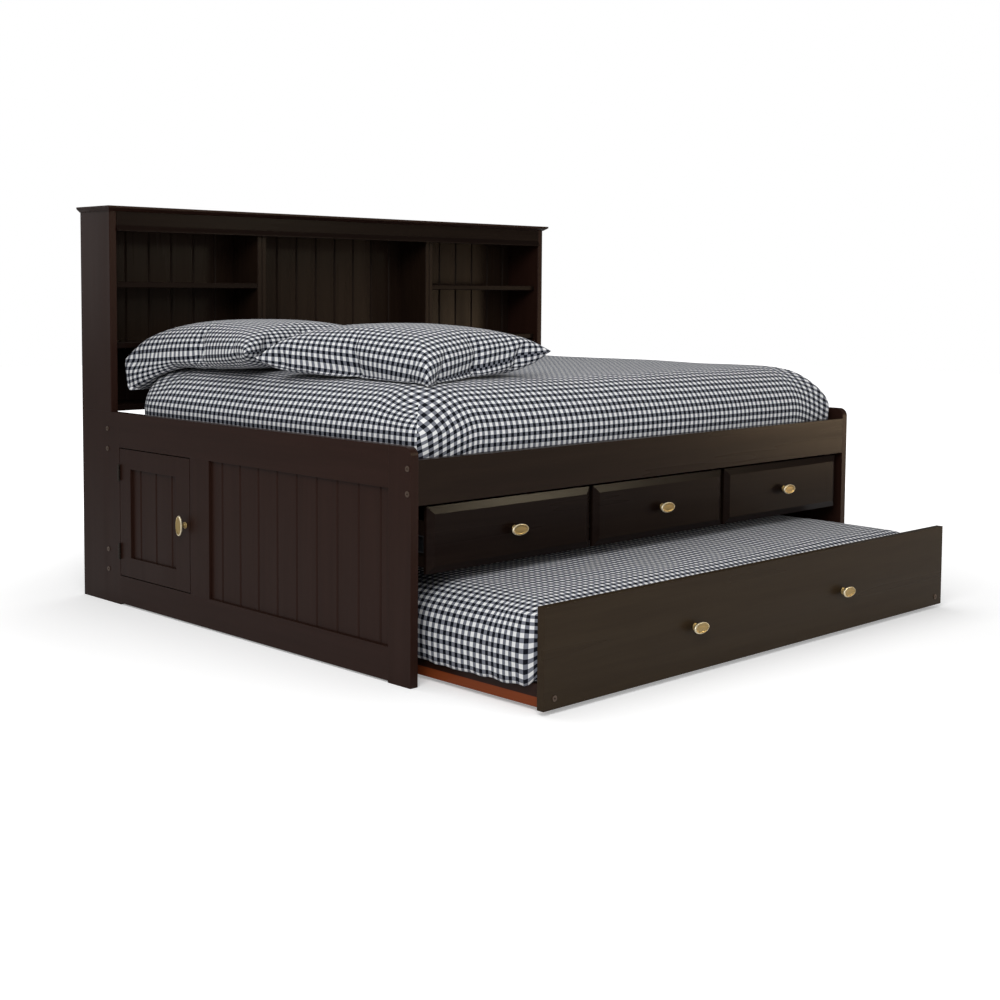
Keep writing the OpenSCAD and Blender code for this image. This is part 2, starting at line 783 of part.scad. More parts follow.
// closed skin through a row of oval rings, each of n points
module loft(rings, n) {
    m = len(rings);
    pts = [for (q = rings, i = [0 : n - 1])
        [q[0] * cos(i * 360 / n), q[1] * sin(i * 360 / n), q[2]]];
    sides = [for (j = [0 : m - 2], i = [0 : n - 1], k = [0, 1])
        k == 0 ? [j * n + i, (j + 1) * n + i, (j + 1) * n + (i + 1) % n]
            : [j * n + i, (j + 1) * n + (i + 1) % n, j * n + (i + 1) % n]];
    foot = [[for (i = [0 : n - 1]) i]];
    face = [[for (i = [n - 1 : -1 : 0]) (m - 1) * n + i]];
    polyhedron(points = pts, faces = concat(sides, foot, face));
}

// oval knob with a raised rim, its foot at the origin and its stem along +Z
module oval_knob() {
    loft(knob_rings(knob_len / 2, knob_h / 2, knob_stem_r, knob_out), 28);
}

module front_knob(x, y, z) {
    translate([x, y, z]) rotate([90, 0, 0]) oval_knob();
}

module door_knob() {
    color(antique) at_bed()
        translate([-x_out, door_y0 + door_knob_inset, (door_z0 + door_z1) / 2])
            rotate([0, -90, 0]) oval_knob();
}

// raised drawer front, bevelled all round
module drawer_front(x, w) {
    h = drawer_z1 - drawer_z0;
    color(espresso) at_bed() translate([x, drawer_y1, drawer_z0 + h / 2]) hull() {
        translate([-w / 2, -(front_t - bevel_d), -h / 2]) cube([w, front_t - bevel_d, h]);
        translate([-w / 2 + bevel_w, -front_t, -h / 2 + bevel_w])
            cube([w - 2 * bevel_w, front_t, h - 2 * bevel_w]);
    }
}

// open tray with its bottom set in above the lower edge of its walls
module drawer_box(x, w) {
    bw = w - 2 * box_inset;
    color(inner_wood) at_bed() translate([x, 0, 0]) difference() {
        span([-bw / 2, drawer_y1, box_z0], [bw / 2, box_y1, box_z1]);
        span([-bw / 2 + box_t, drawer_y1 + box_t, box_z0 + bottom_lift + bottom_t],
            [bw / 2 - box_t, box_y1 - box_t, box_z1 + 1]);
        span([-bw / 2 + box_t, drawer_y1 + box_t, box_z0 - 1],
            [bw / 2 - box_t, box_y1 - box_t, box_z0 + bottom_lift]);
    }
}

// moving members, nested in the fixed channels
module drawer_runners(x, w) {
    bw = w - 2 * box_inset;
    z0 = runner_z0 + runner_t + runner_gap;
    z1 = runner_z0 + runner_h - runner_t - runner_gap;
    deep = runner_w - runner_t - 2;
    color(steel) at_bed() translate([x, 0, 0])
        for (e = [-1, 1]) difference() {
            span([e > 0 ? bw / 2 : -bw / 2 - deep, drawer_y1 + 3, z0],
                [e > 0 ? bw / 2 + deep : -bw / 2, runner_y1 - 8, z1]);
            span([e > 0 ? bw / 2 + runner_t : -bw / 2 - deep - 1, drawer_y1, z0 + runner_t],
                [e > 0 ? bw / 2 + deep + 1 : -bw / 2 - runner_t, runner_y1, z1 - runner_t]);
        }
}

module drawer_knob(x) {
    color(antique) at_bed() front_knob(x, drawer_y0, (drawer_z0 + drawer_z1) / 2);
}

module drawer_left_front() { drawer_front(-side_drawer_x, side_drawer_w); }
module drawer_left_box() { drawer_box(-side_drawer_x, side_drawer_w); }
module drawer_left_runners() { drawer_runners(-side_drawer_x, side_drawer_w); }
module drawer_left_knob() { drawer_knob(-side_drawer_x); }
module drawer_mid_front() { drawer_front(0, mid_drawer_w); }
module drawer_mid_box() { drawer_box(0, mid_drawer_w); }
module drawer_mid_runners() { drawer_runners(0, mid_drawer_w); }
module drawer_mid_knob() { drawer_knob(0); }
module drawer_right_front() { drawer_front(side_drawer_x, side_drawer_w); }
module drawer_right_box() { drawer_box(side_drawer_x, side_drawer_w); }
module drawer_right_runners() { drawer_runners(side_drawer_x, side_drawer_w); }
module drawer_right_knob() { drawer_knob(side_drawer_x); }

tside_bolt_x = (tside_x0 + tside_x1) / 2;
tside_bolt_z = (deck_lift + deck_top) / 2;

module trundle_bolt_hole(x, y, len) {
    translate([x, y, tside_bolt_z]) rotate([-90, 0, 0])
        cylinder(r = bolt_r + bolt_clear, h = len, $fn = 32);
}

module trundle_front() {
    color(espresso) at_bed() difference() {
        span([-trundle_x, trundle_y0, trundle_lift], [trundle_x, trundle_y1, trundle_z1]);
        for (e = [-1, 1]) trundle_bolt_hole(e * tside_bolt_x, trundle_y0 - 1, trundle_t + 2);
    }
}

// side boards, back board and a rail under the middle of the deck
module trundle_frame() {
    color(inner_wood) at_bed() {
        for (e = [-1, 1]) difference() {
            span([e > 0 ? tside_x0 : -tside_x1, trundle_y1, deck_lift],
                [e > 0 ? tside_x1 : -tside_x0, deck_y1, deck_top]);
            trundle_bolt_hole(e * tside_bolt_x, trundle_y1 - 1, bolt_depth + 2);
        }
        span([-tside_x1, deck_y1, deck_lift], [tside_x1, trundle_y2, deck_top]);
        span([-centre_rail_w / 2, trundle_y1, deck_top - deck_t - centre_rail_h],
            [centre_rail_w / 2, deck_y1, deck_top - deck_t]);
    }
}

module trundle_deck() {
    color(inner_wood) at_bed()
        for (i = [0 : deck_n - 1])
            span([-tside_x0, trundle_y1 + i * deck_pitch, deck_top - deck_t],
                [tside_x0, trundle_y1 + i * deck_pitch + deck_slat_w, deck_top]);
}

module trundle_knobs() {
    color(antique) at_bed()
        for (e = [-1, 1]) front_knob(e * trundle_knob_span / 2, trundle_y0, trundle_knob_z);
}

module trundle_bolts() {
    color(antique) at_bed()
        for (e = [-1, 1])
            translate([e * tside_bolt_x, trundle_y0, tside_bolt_z]) rotate([0, 0, 90])
                bolt(0, 0, 0, 1, trundle_t + bolt_depth);
}

// plate, two cheeks and the axle of one caster
module caster(x, y) {
    plate_z = deck_top - deck_t - cheek_t;
    cheek_out = cheek_x + cheek_t;
    translate([x, y, 0]) {
        span([-cheek_out - plate_over, -plate_w / 2, plate_z],
            [cheek_out + plate_over, plate_w / 2, plate_z + cheek_t]);
        for (e = [-1, 1]) {
            span([e > 0 ? cheek_x : -cheek_out, -cheek_w / 2, wheel_r],
                [e > 0 ? cheek_out : -cheek_x, cheek_w / 2, plate_z]);
            translate([e > 0 ? cheek_x : -cheek_out, 0, wheel_r]) rotate([0, 90, 0])
                cylinder(r = cheek_w / 2, h = cheek_t, $fn = 32);
        }
        translate([-cheek_out - axle_r * 0.4, 0, wheel_r]) rotate([0, 90, 0])
            cylinder(r = axle_r, h = 2 * (cheek_out + axle_r * 0.4), $fn = 32);
    }
}

module caster_brackets() {
    color(steel) at_bed()
        for (e = [-1, 1], y = [wheel_y_front, wheel_y_back]) caster(e * wheel_x, y);
}

// wheel with a rounded tread and a true bore
module wheel(x, y) {
    r = wheel_w * 0.2;
    color(rubber) at_bed() translate([x, y, wheel_r]) rotate([0, 90, 0])
        difference() {
            rotate_extrude($fn = 64) {
                translate([0, -wheel_w / 2 + r]) square([wheel_r, wheel_w - 2 * r]);
                translate([0, -wheel_w / 2]) square([wheel_r - r, wheel_w]);
                for (s = [-1, 1])
                    translate([wheel_r - r, s * (wheel_w / 2 - r)]) circle(r, $fn = 24);
            }
            translate([0, 0, -wheel_w]) cylinder(r = axle_r + axle_fit, h = 2 * wheel_w, $fn = 32);
            for (s = [-1, 1]) translate([0, 0, s * wheel_w / 2]) difference() {
                translate([0, 0, -1.5]) cylinder(r = wheel_r * 0.68, h = 3, $fn = 32);
                translate([0, 0, -2]) cylinder(r = wheel_r * 0.34, h = 4, $fn = 32);
            }
        }
}

module wheel_front_left() { wheel(-wheel_x, wheel_y_front); }
module wheel_front_right() { wheel(wheel_x, wheel_y_front); }
module wheel_back_left() { wheel(-wheel_x, wheel_y_back); }
module wheel_back_right() { wheel(wheel_x, wheel_y_back); }

// soft block with rounded corners and a domed edge
module soft_block(w, d, z0, z1, r) {
    h = z1 - z0;
    hull() {
        translate([0, 0, z0]) linear_extrude(0.5) round_rect(w - 0.1 * h, d - 0.1 * h, r);
        translate([0, 0, z0 + 0.12 * h]) linear_extrude(0.72 * h) round_rect(w, d, r);
        translate([0, 0, z0 + 0.93 * h]) linear_extrude(0.5) round_rect(w - 0.16 * h, d - 0.16 * h, r);
        translate([0, 0, z1 - 0.5]) linear_extrude(0.5) round_rect(w - 0.45 * h, d - 0.45 * h, r);
    }
}

mattress_y0 = rail_t + mattress_gap;
mattress_d = book_y0 - mattress_back_gap - mattress_y0;
mattress_w = 2 * (x_in - mattress_side_gap);
mattress_z1 = base_z + soft_gap + mattress_h;

module mattress() {
    color(ticking) at_bed() translate([0, mattress_y0 + mattress_d / 2, 0])
        soft_block(mattress_w, mattress_d, base_z + soft_gap, mattress_z1, mattress_r);
}

module trundle_mattress() {
    w = 2 * (tside_x1 + pull_mattress_over);
    d = trundle_y2 - trundle_y1 - 2 * soft_gap;
    color(ticking) at_bed() translate([0, (trundle_y1 + trundle_y2) / 2, 0])
        soft_block(w, d, deck_top + soft_gap, deck_top + soft_gap + pull_mattress_h, mattress_r * 0.7);
}

// plump cushion, thickest at its middle, its lowest point at z = 0
module pillow(w, d, h) {
    hull() {
        translate([0, 0, 0]) linear_extrude(1) round_rect(w * 0.62, d * 0.66, 60);
        translate([0, 0, h * 0.3]) linear_extrude(1) round_rect(w * 0.94, d * 0.95, 30);
        translate([0, 0, h * 0.42]) linear_extrude(1) round_rect(w, d, 22);
        translate([0, 0, h * 0.72]) linear_extrude(1) round_rect(w * 0.84, d * 0.87, 50);
        translate([0, 0, h - 1]) linear_extrude(1) round_rect(w * 0.4, d * 0.45, 60);
    }
}

pillow_y1 = mattress_y0 + mattress_d + pillow_over;
pillow_y0 = pillow_y1 - pillow_d;
lean = atan(0.84 * pillow_h / pillow_lap);

// half space above or below the slanting plane on which the front pillow leans on the back one
module lean_space(above) {
    translate([-bed_w, pillow_y0, mattress_z1 + soft_gap]) rotate([lean, 0, 0])
        translate([0, -bed_d, above ? 0 : -bed_d + soft_gap]) cube([2 * bed_w, 2 * bed_d, bed_d]);
}

// its open hem hangs down behind the mattress at the corner of the bed
module pillow_back() {
    x0 = -mattress_w / 2 + pillow_edge;
    flap_y = mattress_y0 + mattress_d + hem_gap;
    color(ticking) at_bed() difference() {
        union() {
            translate([x0 + pillow_w / 2, (pillow_y0 + pillow_y1) / 2, mattress_z1 + soft_gap])
                pillow(pillow_w, pillow_d, pillow_h);
            hull() {
                span([x0 + hem_gap, flap_y, mattress_z1 - hem_drop],
                    [x0 + 0.4 * hem_w, pillow_y1, mattress_z1 - hem_drop + 1]);
                span([x0, flap_y, mattress_z1 + 0.35 * pillow_h],
                    [x0 + hem_w, pillow_y1, mattress_z1 + 0.35 * pillow_h + 1]);
            }
        }
        lean_space(true);
    }
}

module pillow_front() {
    color(ticking) at_bed() difference() {
        translate([-mattress_w / 2 + pillow_w / 2 + pillow_step,
            pillow_y0 + pillow_lap - pillow_d / 2, mattress_z1 + soft_gap])
            rotate([0, 0, pillow_turn]) pillow(pillow_w, pillow_d, pillow_h);
        lean_space(false);
    }
}

left_stiles();
left_rails();
left_bead_panel();
right_stiles();
right_rails();
right_bead_panels();
rear_side_boards();
front_rail();
rear_upper_rail();
rear_lower_rail();
slat_cleats();
slats();
bookcase_sides();
bookcase_cap();
fascia();
fascia_moulding();
bookcase_dividers();
upper_shelves();
lower_shelves();
bookcase_floor();
bookcase_back();
case_boards();
case_back();
case_runners();
storage_partition();
storage_floor();
storage_back();
frame_bolts();
frame_hinges();
door_catch();
mattress();
pillow_back();
pillow_front();
door_frame();
door_panel();
door_knob();
door_hinges();
drawer_left_front();
drawer_left_box();
drawer_left_runners();
drawer_left_knob();
drawer_mid_front();
drawer_mid_box();
drawer_mid_runners();
drawer_mid_knob();
drawer_right_front();
drawer_right_box();
drawer_right_runners();
drawer_right_knob();
trundle_front();
trundle_frame();
trundle_deck();
trundle_knobs();
trundle_bolts();
caster_brackets();
trundle_mattress();
wheel_front_left();
wheel_front_right();
wheel_back_left();
wheel_back_right();
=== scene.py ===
"""Day bed with a bookcase, drawers and a trundle: the looks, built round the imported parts."""

import logging
import math
from collections.abc import Sequence
from dataclasses import dataclass, field
from enum import Enum

import bmesh
import bpy
import numpy as np
from bpy.types import Material, Node, NodeSocket, NodeTree, Object
from mathutils import Matrix, Vector


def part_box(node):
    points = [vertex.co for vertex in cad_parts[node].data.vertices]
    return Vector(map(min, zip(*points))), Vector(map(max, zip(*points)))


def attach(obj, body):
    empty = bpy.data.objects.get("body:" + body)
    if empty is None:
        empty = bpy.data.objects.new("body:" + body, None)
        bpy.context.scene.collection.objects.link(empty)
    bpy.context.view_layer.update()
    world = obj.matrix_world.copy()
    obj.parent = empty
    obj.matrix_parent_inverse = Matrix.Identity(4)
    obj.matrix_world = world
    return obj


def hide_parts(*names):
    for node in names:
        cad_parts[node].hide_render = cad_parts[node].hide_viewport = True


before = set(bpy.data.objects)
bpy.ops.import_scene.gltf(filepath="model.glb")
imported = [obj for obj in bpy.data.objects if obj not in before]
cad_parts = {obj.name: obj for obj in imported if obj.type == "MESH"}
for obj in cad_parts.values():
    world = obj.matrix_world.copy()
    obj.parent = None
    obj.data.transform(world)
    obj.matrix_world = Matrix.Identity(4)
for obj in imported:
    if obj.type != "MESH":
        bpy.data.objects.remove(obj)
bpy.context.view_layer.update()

LOG = logging.getLogger("trundle_bed")
MM = 0.001
THREADS_PER_CHECK = 24
Array = np.ndarray
Point = tuple[float, float, float]


# ---- small tools


def linear(hex_colour: str) -> tuple[float, float, float, float]:
    """Turn a written colour into the linear values that a shader socket takes.

    Args:
        hex_colour: the colour as #rrggbb.

    Returns:
        Red, green, blue and an alpha of 1.
    """
    parts = [int(hex_colour[i : i + 2], 16) / 255 for i in (1, 3, 5)]
    low = [c / 12.92 if c <= 0.04045 else ((c + 0.055) / 1.055) ** 2.4 for c in parts]
    return (low[0], low[1], low[2], 1.0)


class Weaver:
    """Adds nodes to one tree and links them by socket name."""

    def __init__(self, tree: NodeTree) -> None:
        """Keep the tree that the nodes go into."""
        self.tree = tree

    def fill(self, node: Node, sockets: dict) -> None:
        """Link or set inputs of a node.

        Args:
            node: the node whose inputs are filled.
            sockets: input name or number to a value or to another node's output.
        """
        for name, value in sockets.items():
            if isinstance(value, NodeSocket):
                self.tree.links.new(value, node.inputs[name])
            else:
                node.inputs[name].default_value = value

    def add(self, kind: str, sockets: dict | None = None, **settings: object) -> Node:
        """Add a node, set its properties, and fill its inputs.

        Args:
            kind: the node's class name.
            sockets: as in fill.
            settings: properties set on the node itself.

        Returns:
            The new node.
        """
        node = self.tree.nodes.new(kind)
        for name, value in settings.items():
            setattr(node, name, value)
        self.fill(node, sockets or {})
        return node

    def math(self, how: str, a: object, b: object = 0.0) -> NodeSocket:
        """Add one Math node and give its output."""
        return self.add("ShaderNodeMath", {0: a, 1: b}, operation=how).outputs[0]

    def noise(self, vector: object, scale: float, detail: float = 2.0,
              roughness: float = 0.5) -> Node:
        """Add a Noise Texture node."""
        return self.add("ShaderNodeTexNoise", {"Vector": vector, "Scale": scale,
                                               "Detail": detail, "Roughness": roughness})

    def ramp(self, value: object, low: float, high: float, to_low: float = 0.0,
             to_high: float = 1.0) -> NodeSocket:
        """Add a smooth Map Range node and give its output."""
        node = self.add("ShaderNodeMapRange",
                        {"Value": value, "From Min": low, "From Max": high,
                         "To Min": to_low, "To Max": to_high}, interpolation_type="SMOOTHSTEP")
        return node.outputs["Result"]

    def blend(self, mask: object, a: object, b: object) -> NodeSocket:
        """Mix two colours by a mask; inputs 6 and 7 of a Mix node are its colours."""
        node = self.add("ShaderNodeMix", {"Factor": mask, 6: a, 7: b}, data_type="RGBA")
        return node.outputs[2]


def new_group(name: str, inputs: Sequence[str],
              outputs: Sequence[str]) -> tuple[NodeTree, Weaver, dict]:
    """Start a shader node group whose sockets are single numbers, but for one called Vector.

    Args:
        name: the group's name.
        inputs: the name of each input.
        outputs: the name of each output.

    Returns:
        The group, a weaver for it, and its input sockets by name.
    """
    tree = bpy.data.node_groups.new(name, "ShaderNodeTree")
    for labels, side in ((inputs, "INPUT"), (outputs, "OUTPUT")):
        for label in labels:
            kind = "NodeSocketVector" if label == "Vector" else "NodeSocketFloat"
            tree.interface.new_socket(label, in_out=side, socket_type=kind)
    entry = tree.nodes.new("NodeGroupInput")
    return tree, Weaver(tree), {label: entry.outputs[label] for label in inputs}


# ---- shared effects


def grain_group() -> NodeTree:
    """Wood grain: long soft figure, fine pores and a slow cloud over the board.

    The vector comes in already stretched along the board. Figure is noise of the vector bent by a
    slower noise; pores are a thresholded fine noise; cloud is one slow noise.

    Returns:
        The node group, with outputs Figure, Pores and Cloud.
    """
    tree, w, given = new_group("wood_grain", ["Vector"], ["Figure", "Pores", "Cloud"])
    slow = w.noise(given["Vector"], 0.35)
    bent = w.add("ShaderNodeVectorMath", {0: given["Vector"], 1: slow.outputs["Color"]},
                 operation="ADD")
    figure = w.noise(bent.outputs[0], 1.0, 6.0, 0.62)
    fine = w.noise(given["Vector"], 5.0, 3.0, 0.7)
    w.add("NodeGroupOutput", {"Figure": w.ramp(figure.outputs["Fac"], 0.3, 0.72),
                              "Pores": w.ramp(fine.outputs["Fac"], 0.56, 0.72),
                              "Cloud": slow.outputs["Fac"]})
    return tree


def check_group() -> NodeTree:
    """Gingham: dark threads run both ways in even bands, so bands cross in three tones.

    Each direction's mask is 1 where the fraction of the coordinate over the period is under a
    half, with soft edges. Their mean is the dark share. Threads are two crossed fine waves.

    Returns:
        The node group, with outputs Dark and Threads.
    """
    tree, w, given = new_group("gingham_check", ["Vector", "Period"], ["Dark", "Threads"])
    split = w.add("ShaderNodeSeparateXYZ", {0: given["Vector"]})
    bands, threads = [], []
    for axis in (0, 1):
        turns = w.math("DIVIDE", split.outputs[axis], given["Period"])
        bands.append(w.ramp(w.math("PINGPONG", turns, 0.5), 0.235, 0.265))
        wave = w.math("MULTIPLY", turns, 2 * math.pi * THREADS_PER_CHECK)
        threads.append(w.math("SINE", wave))
    w.add("NodeGroupOutput", {"Dark": w.math("MULTIPLY", w.math("ADD", *bands), 0.5),
                              "Threads": w.math("MULTIPLY", *threads)})
    return tree


def patina_group() -> NodeTree:
    """Age on metal: blotches where the dark finish stays and rubbed spots where metal shows.

    Rubbed is the given wear plus noise, thresholded; blotch is a slower noise.

    Returns:
        The node group, with outputs Rubbed and Blotch.
    """
    tree, w, given = new_group("patina", ["Vector", "Wear"], ["Rubbed", "Blotch"])
    spots = w.noise(given["Vector"], 260.0, 4.0)
    slow = w.noise(given["Vector"], 60.0)
    wear = w.math("ADD", given["Wear"], w.math("SUBTRACT", spots.outputs["Fac"], 0.5))
    w.add("NodeGroupOutput", {"Rubbed": w.ramp(wear, 0.35, 0.85),
                              "Blotch": slow.outputs["Fac"]})
    return tree


# ---- finishes


class Grain(Enum):
    """Which way the grain of a board runs; the value scales X, Y and Z."""

    ALONG_X = (2.2, 46.0, 46.0)
    ALONG_Y = (46.0, 2.2, 46.0)
    ALONG_Z = (46.0, 46.0, 2.2)


@dataclass(frozen=True)
class Finish:
    """What every finish has: a name, and a principled shader to start from."""

    name: str

    def start(self) -> tuple[Material, Weaver, Node]:
        """Make the material with its tree.

        Returns:
            The material, a weaver for its tree, and its principled shader.
        """
        material = bpy.data.materials.new(self.name)
        material.use_nodes = True
        weaver = Weaver(material.node_tree)
        return material, weaver, material.node_tree.nodes["Principled BSDF"]

    @staticmethod
    def place(weaver: Weaver, output: str = "Object") -> NodeSocket:
        """Give the coordinates that the finish is drawn in."""
        return weaver.add("ShaderNodeTexCoord").outputs[output]

    @staticmethod
    def relief(weaver: Weaver, shader: Node, height: NodeSocket,
               strength: float, distance: float, soft_edge: float = 0.0) -> None:
        """Feed a height through a Bump node into the shader's normal, over softened edges."""
        bump = weaver.add("ShaderNodeBump",
                          {"Height": height, "Strength": strength, "Distance": distance})
        if soft_edge:
            bevel = weaver.add("ShaderNodeBevel", {"Radius": soft_edge})
            weaver.tree.links.new(bevel.outputs["Normal"], bump.inputs["Normal"])
        weaver.tree.links.new(bump.outputs["Normal"], shader.inputs["Normal"])


@dataclass(frozen=True)
class StainedWood(Finish):
    """Dark espresso stain under satin lacquer, with a painted lit band below a height if one is
    given.
    """

    grain: Grain = Grain.ALONG_X
    deep: str = "#291812"
    warm: str = "#2d1b15"
    gloss: float = 0.36
    sheen_level: float = 0.10
    # painted lit band: below this height the board turns orange-brown, painted in as light on its
    # lower strip under the mattress's shade
    painted_lit_band_below: float = 0.0
    painted_lit_band_colour: str = "#7a3a1c"

    def make(self, group: NodeTree) -> Material:
        """Build the wood material round the shared grain group."""
        material, w, shader = self.start()
        stretched = w.add("ShaderNodeMapping", {"Vector": self.place(w), "Scale": self.grain.value})
        grain = w.add("ShaderNodeGroup", {"Vector": stretched.outputs[0]}, node_tree=group)
        tone = w.blend(grain.outputs["Figure"], linear(self.deep), linear(self.warm))
        dark = w.blend(w.math("MULTIPLY", grain.outputs["Pores"], 0.3), tone, linear(self.deep))
        # painted lit band: orange-brown below the given height, standing in for the light on the
        # board's lowest strip
        if self.painted_lit_band_below:
            height = w.add("ShaderNodeSeparateXYZ", {0: self.place(w)}).outputs["Z"]
            low = w.ramp(height, self.painted_lit_band_below, self.painted_lit_band_below + 2 * MM, 1.0, 0.0)
            dark = w.blend(low, dark, linear(self.painted_lit_band_colour))
        rough = w.ramp(grain.outputs["Cloud"], 0.3, 0.7, self.gloss - 0.03, self.gloss + 0.05)
        w.fill(shader, {"Base Color": dark, "Roughness": rough,
                        "Specular IOR Level": self.sheen_level})
        height = w.math("SUBTRACT", w.math("MULTIPLY", grain.outputs["Figure"], 0.4),
                        grain.outputs["Pores"])
        self.relief(w, shader, height, 0.05, 0.0005, soft_edge=1.2 * MM)
        return material


@dataclass(frozen=True)
class AgedBrass(Finish):
    """Antique brass: dark patina with rubbed rims that also carry a painted highlight; the ground
    for other aged surfaces.

    Each of tone_by, rough_by and relief_by names the output of the patina group that drives it.
    Wear is one level for the whole piece, or None where the piece's own attribute holds it.
    """

    dark: str = "#a88f5c"
    # near-white rubbed tone: worn brass on the rims, and also a painted highlight standing in for
    # the glint on the knobs' faces
    light: str = "#fdf0cf"
    wear: float | None = None
    metallic: float = 0.6
    tone_by: str = "Rubbed"
    rough_by: str = "Blotch"
    rough: tuple[float, float, float, float] = (0.3, 0.7, 0.3, 0.5)
    relief_by: str = "Rubbed"
    strength: float = 0.15
    depth: float = 0.0003

    def make(self, group: NodeTree) -> Material:
        """Build the aged surface round the shared patina group."""
        material, w, shader = self.start()
        wear = self.wear
        if wear is None:
            wear = w.add("ShaderNodeAttribute", attribute_name="wear").outputs["Fac"]
        aged = w.add("ShaderNodeGroup", {"Vector": self.place(w), "Wear": wear},
                     node_tree=group).outputs
        tone = w.blend(aged[self.tone_by], linear(self.dark), linear(self.light))
        w.fill(shader, {"Base Color": tone, "Metallic": self.metallic,
                        "Roughness": w.ramp(aged[self.rough_by], *self.rough)})
        self.relief(w, shader, aged[self.relief_by], self.strength, self.depth)
        return material


@dataclass(frozen=True)
class PlatedSteel(AgedBrass):
    """Zinc plated steel with a brushed, slightly cloudy surface."""

    dark: str = "#63666a"
    light: str = "#8e9194"
    wear: float | None = 0.4
    metallic: float = 1.0
    tone_by: str = "Blotch"
    rough_by: str = "Rubbed"
    rough: tuple[float, float, float, float] = (0.0, 1.0, 0.5, 0.34)
    relief_by: str = "Blotch"
    strength: float = 0.08
    depth: float = 0.0004


@dataclass(frozen=True)
class MouldedRubber(AgedBrass):
    """Matt dark rubber with dust in its pores."""

    dark: str = "#2a2a2c"
    light: str = "#4a4846"
    wear: float | None = 0.15
    metallic: float = 0.0
    rough: tuple[float, float, float, float] = (0.3, 0.7, 0.6, 0.8)
    strength: float = 0.1


@dataclass(frozen=True)
class Gingham(Finish):
    """Plain cotton weave, white with navy bands both ways."""

    period: float = 21.6 * MM
    white: str = "#e6e6e6"
    middle: str = "#73767f"
    navy: str = "#0d0f18"

    def make(self, group: NodeTree) -> Material:
        """Build the cloth, drawn in the piece's own UV map in metres."""
        material, w, shader = self.start()
        check = w.add("ShaderNodeGroup", {"Vector": self.place(w, "UV"), "Period": self.period},
                      node_tree=group)
        dark = check.outputs["Dark"]
        low = w.blend(w.ramp(dark, 0.0, 0.5), linear(self.white), linear(self.middle))
        tone = w.blend(w.ramp(dark, 0.5, 1.0), low, linear(self.navy))
        lint = w.noise(self.place(w), 900.0)
        w.fill(shader, {"Base Color": tone, "Specular IOR Level": 0.12, "Sheen Weight": 0.12,
                        "Sheen Roughness": 0.3,
                        "Roughness": w.ramp(lint.outputs["Fac"], 0.3, 0.7, 0.82, 0.95)})
        height = w.math("ADD", w.math("MULTIPLY", check.outputs["Threads"], 0.5),
                        lint.outputs["Fac"])
        self.relief(w, shader, height, 0.12, 0.0004)
        return material


# ---- surfaces


@dataclass
class Sheet:
    """A grid of points with its own flat coordinates, one patch of a closed skin."""

    points: Array
    flat: Array

    def faces(self) -> Array:
        """Index the grid's quads, row by row."""
        rows, cols = self.points.shape[:2]
        at = np.arange(rows * cols).reshape(rows, cols)
        return np.stack([at[:-1, :-1], at[1:, :-1], at[1:, 1:], at[:-1, 1:]], -1).reshape(-1, 4)

    def flipped(self) -> "Sheet":
        """Give the same patch with its quads facing the other way."""
        return Sheet(self.points[::-1], self.flat[::-1])


def skin(name: str, patches: Sequence[Sheet], weld: float = 0.0) -> Object:
    """Make one mesh object from patches, with their flat coordinates as its UV map.

    Args:
        name: the object's name.
        patches: grids whose quads already face outwards.
        weld: distance under which neighbouring points become one, or 0 to leave them.

    Returns:
        The object, linked to the scene, smooth shaded, at the origin.
    """
    points = np.concatenate([p.points.reshape(-1, 3) for p in patches])
    flat = np.concatenate([p.flat.reshape(-1, 2) for p in patches])
    starts = np.cumsum([0] + [p.points.shape[0] * p.points.shape[1] for p in patches[:-1]])
    quads = np.concatenate([p.faces() + s for p, s in zip(patches, starts)])
    mesh = bpy.data.meshes.new(name)
    mesh.from_pydata(points.tolist(), [], quads.tolist())
    layer = mesh.uv_layers.new(name="cloth")
    layer.data.foreach_set("uv", flat[quads.ravel()].astype(np.float32).ravel())
    mesh.polygons.foreach_set("use_smooth", np.ones(len(quads), dtype=bool))
    obj = bpy.data.objects.new(name, mesh)
    bpy.context.scene.collection.objects.link(obj)
    if weld:
        join_close(obj, weld)
    mesh.update()
    return obj


def join_close(obj: Object, distance: float) -> None:
    """Weld points of a mesh that lie closer than a distance, and drop what collapses."""
    shape = bmesh.new()
    shape.from_mesh(obj.data)
    bmesh.ops.remove_doubles(shape, verts=shape.verts, dist=distance)
    bmesh.ops.dissolve_degenerate(shape, dist=distance * 0.1, edges=shape.edges)
    bmesh.ops.recalc_face_normals(shape, faces=shape.faces)
    shape.to_mesh(obj.data)
    shape.free()


def coordinates(obj: Object) -> Array:
    """Read a mesh's points as an array of rows."""
    flat = np.empty(len(obj.data.vertices) * 3)
    obj.data.vertices.foreach_get("co", flat)
    return flat.reshape(-1, 3)


def move_points(obj: Object, points: Array) -> None:
    """Write new places for all of a mesh's points."""
    obj.data.vertices.foreach_set("co", points.astype(np.float32).ravel())
    obj.data.update()


def ripple(a: Array, b: Array, seed: int, waves: int, longest: float, shortest: float) -> Array:
    """A smooth uneven height over two coordinates.

    The height is a sum of sines whose directions, phases and wavelengths are drawn from a seeded
    generator, each weighted by its wavelength, scaled to about one.

    Args:
        a: first coordinate, in metres.
        b: second coordinate, in metres.
        seed: seed of the draws.
        waves: number of sines.
        longest: longest wavelength, in metres.
        shortest: shortest wavelength, in metres.

    Returns:
        The height at each point.
    """
    draw = np.random.default_rng(seed)
    length = np.exp(draw.uniform(math.log(shortest), math.log(longest), waves))
    turn = draw.uniform(0, 2 * math.pi, waves)
    phase = draw.uniform(0, 2 * math.pi, waves)
    along = a[..., None] * np.cos(turn) + b[..., None] * np.sin(turn)
    weight = length / length.sum()
    return (np.sin(2 * math.pi * along / length + phase) * weight).sum(-1) * 1.6


def ease(share: Array) -> Array:
    """Smooth a share: three times its square less twice its cube."""
    return share * share * (3 - 2 * share)


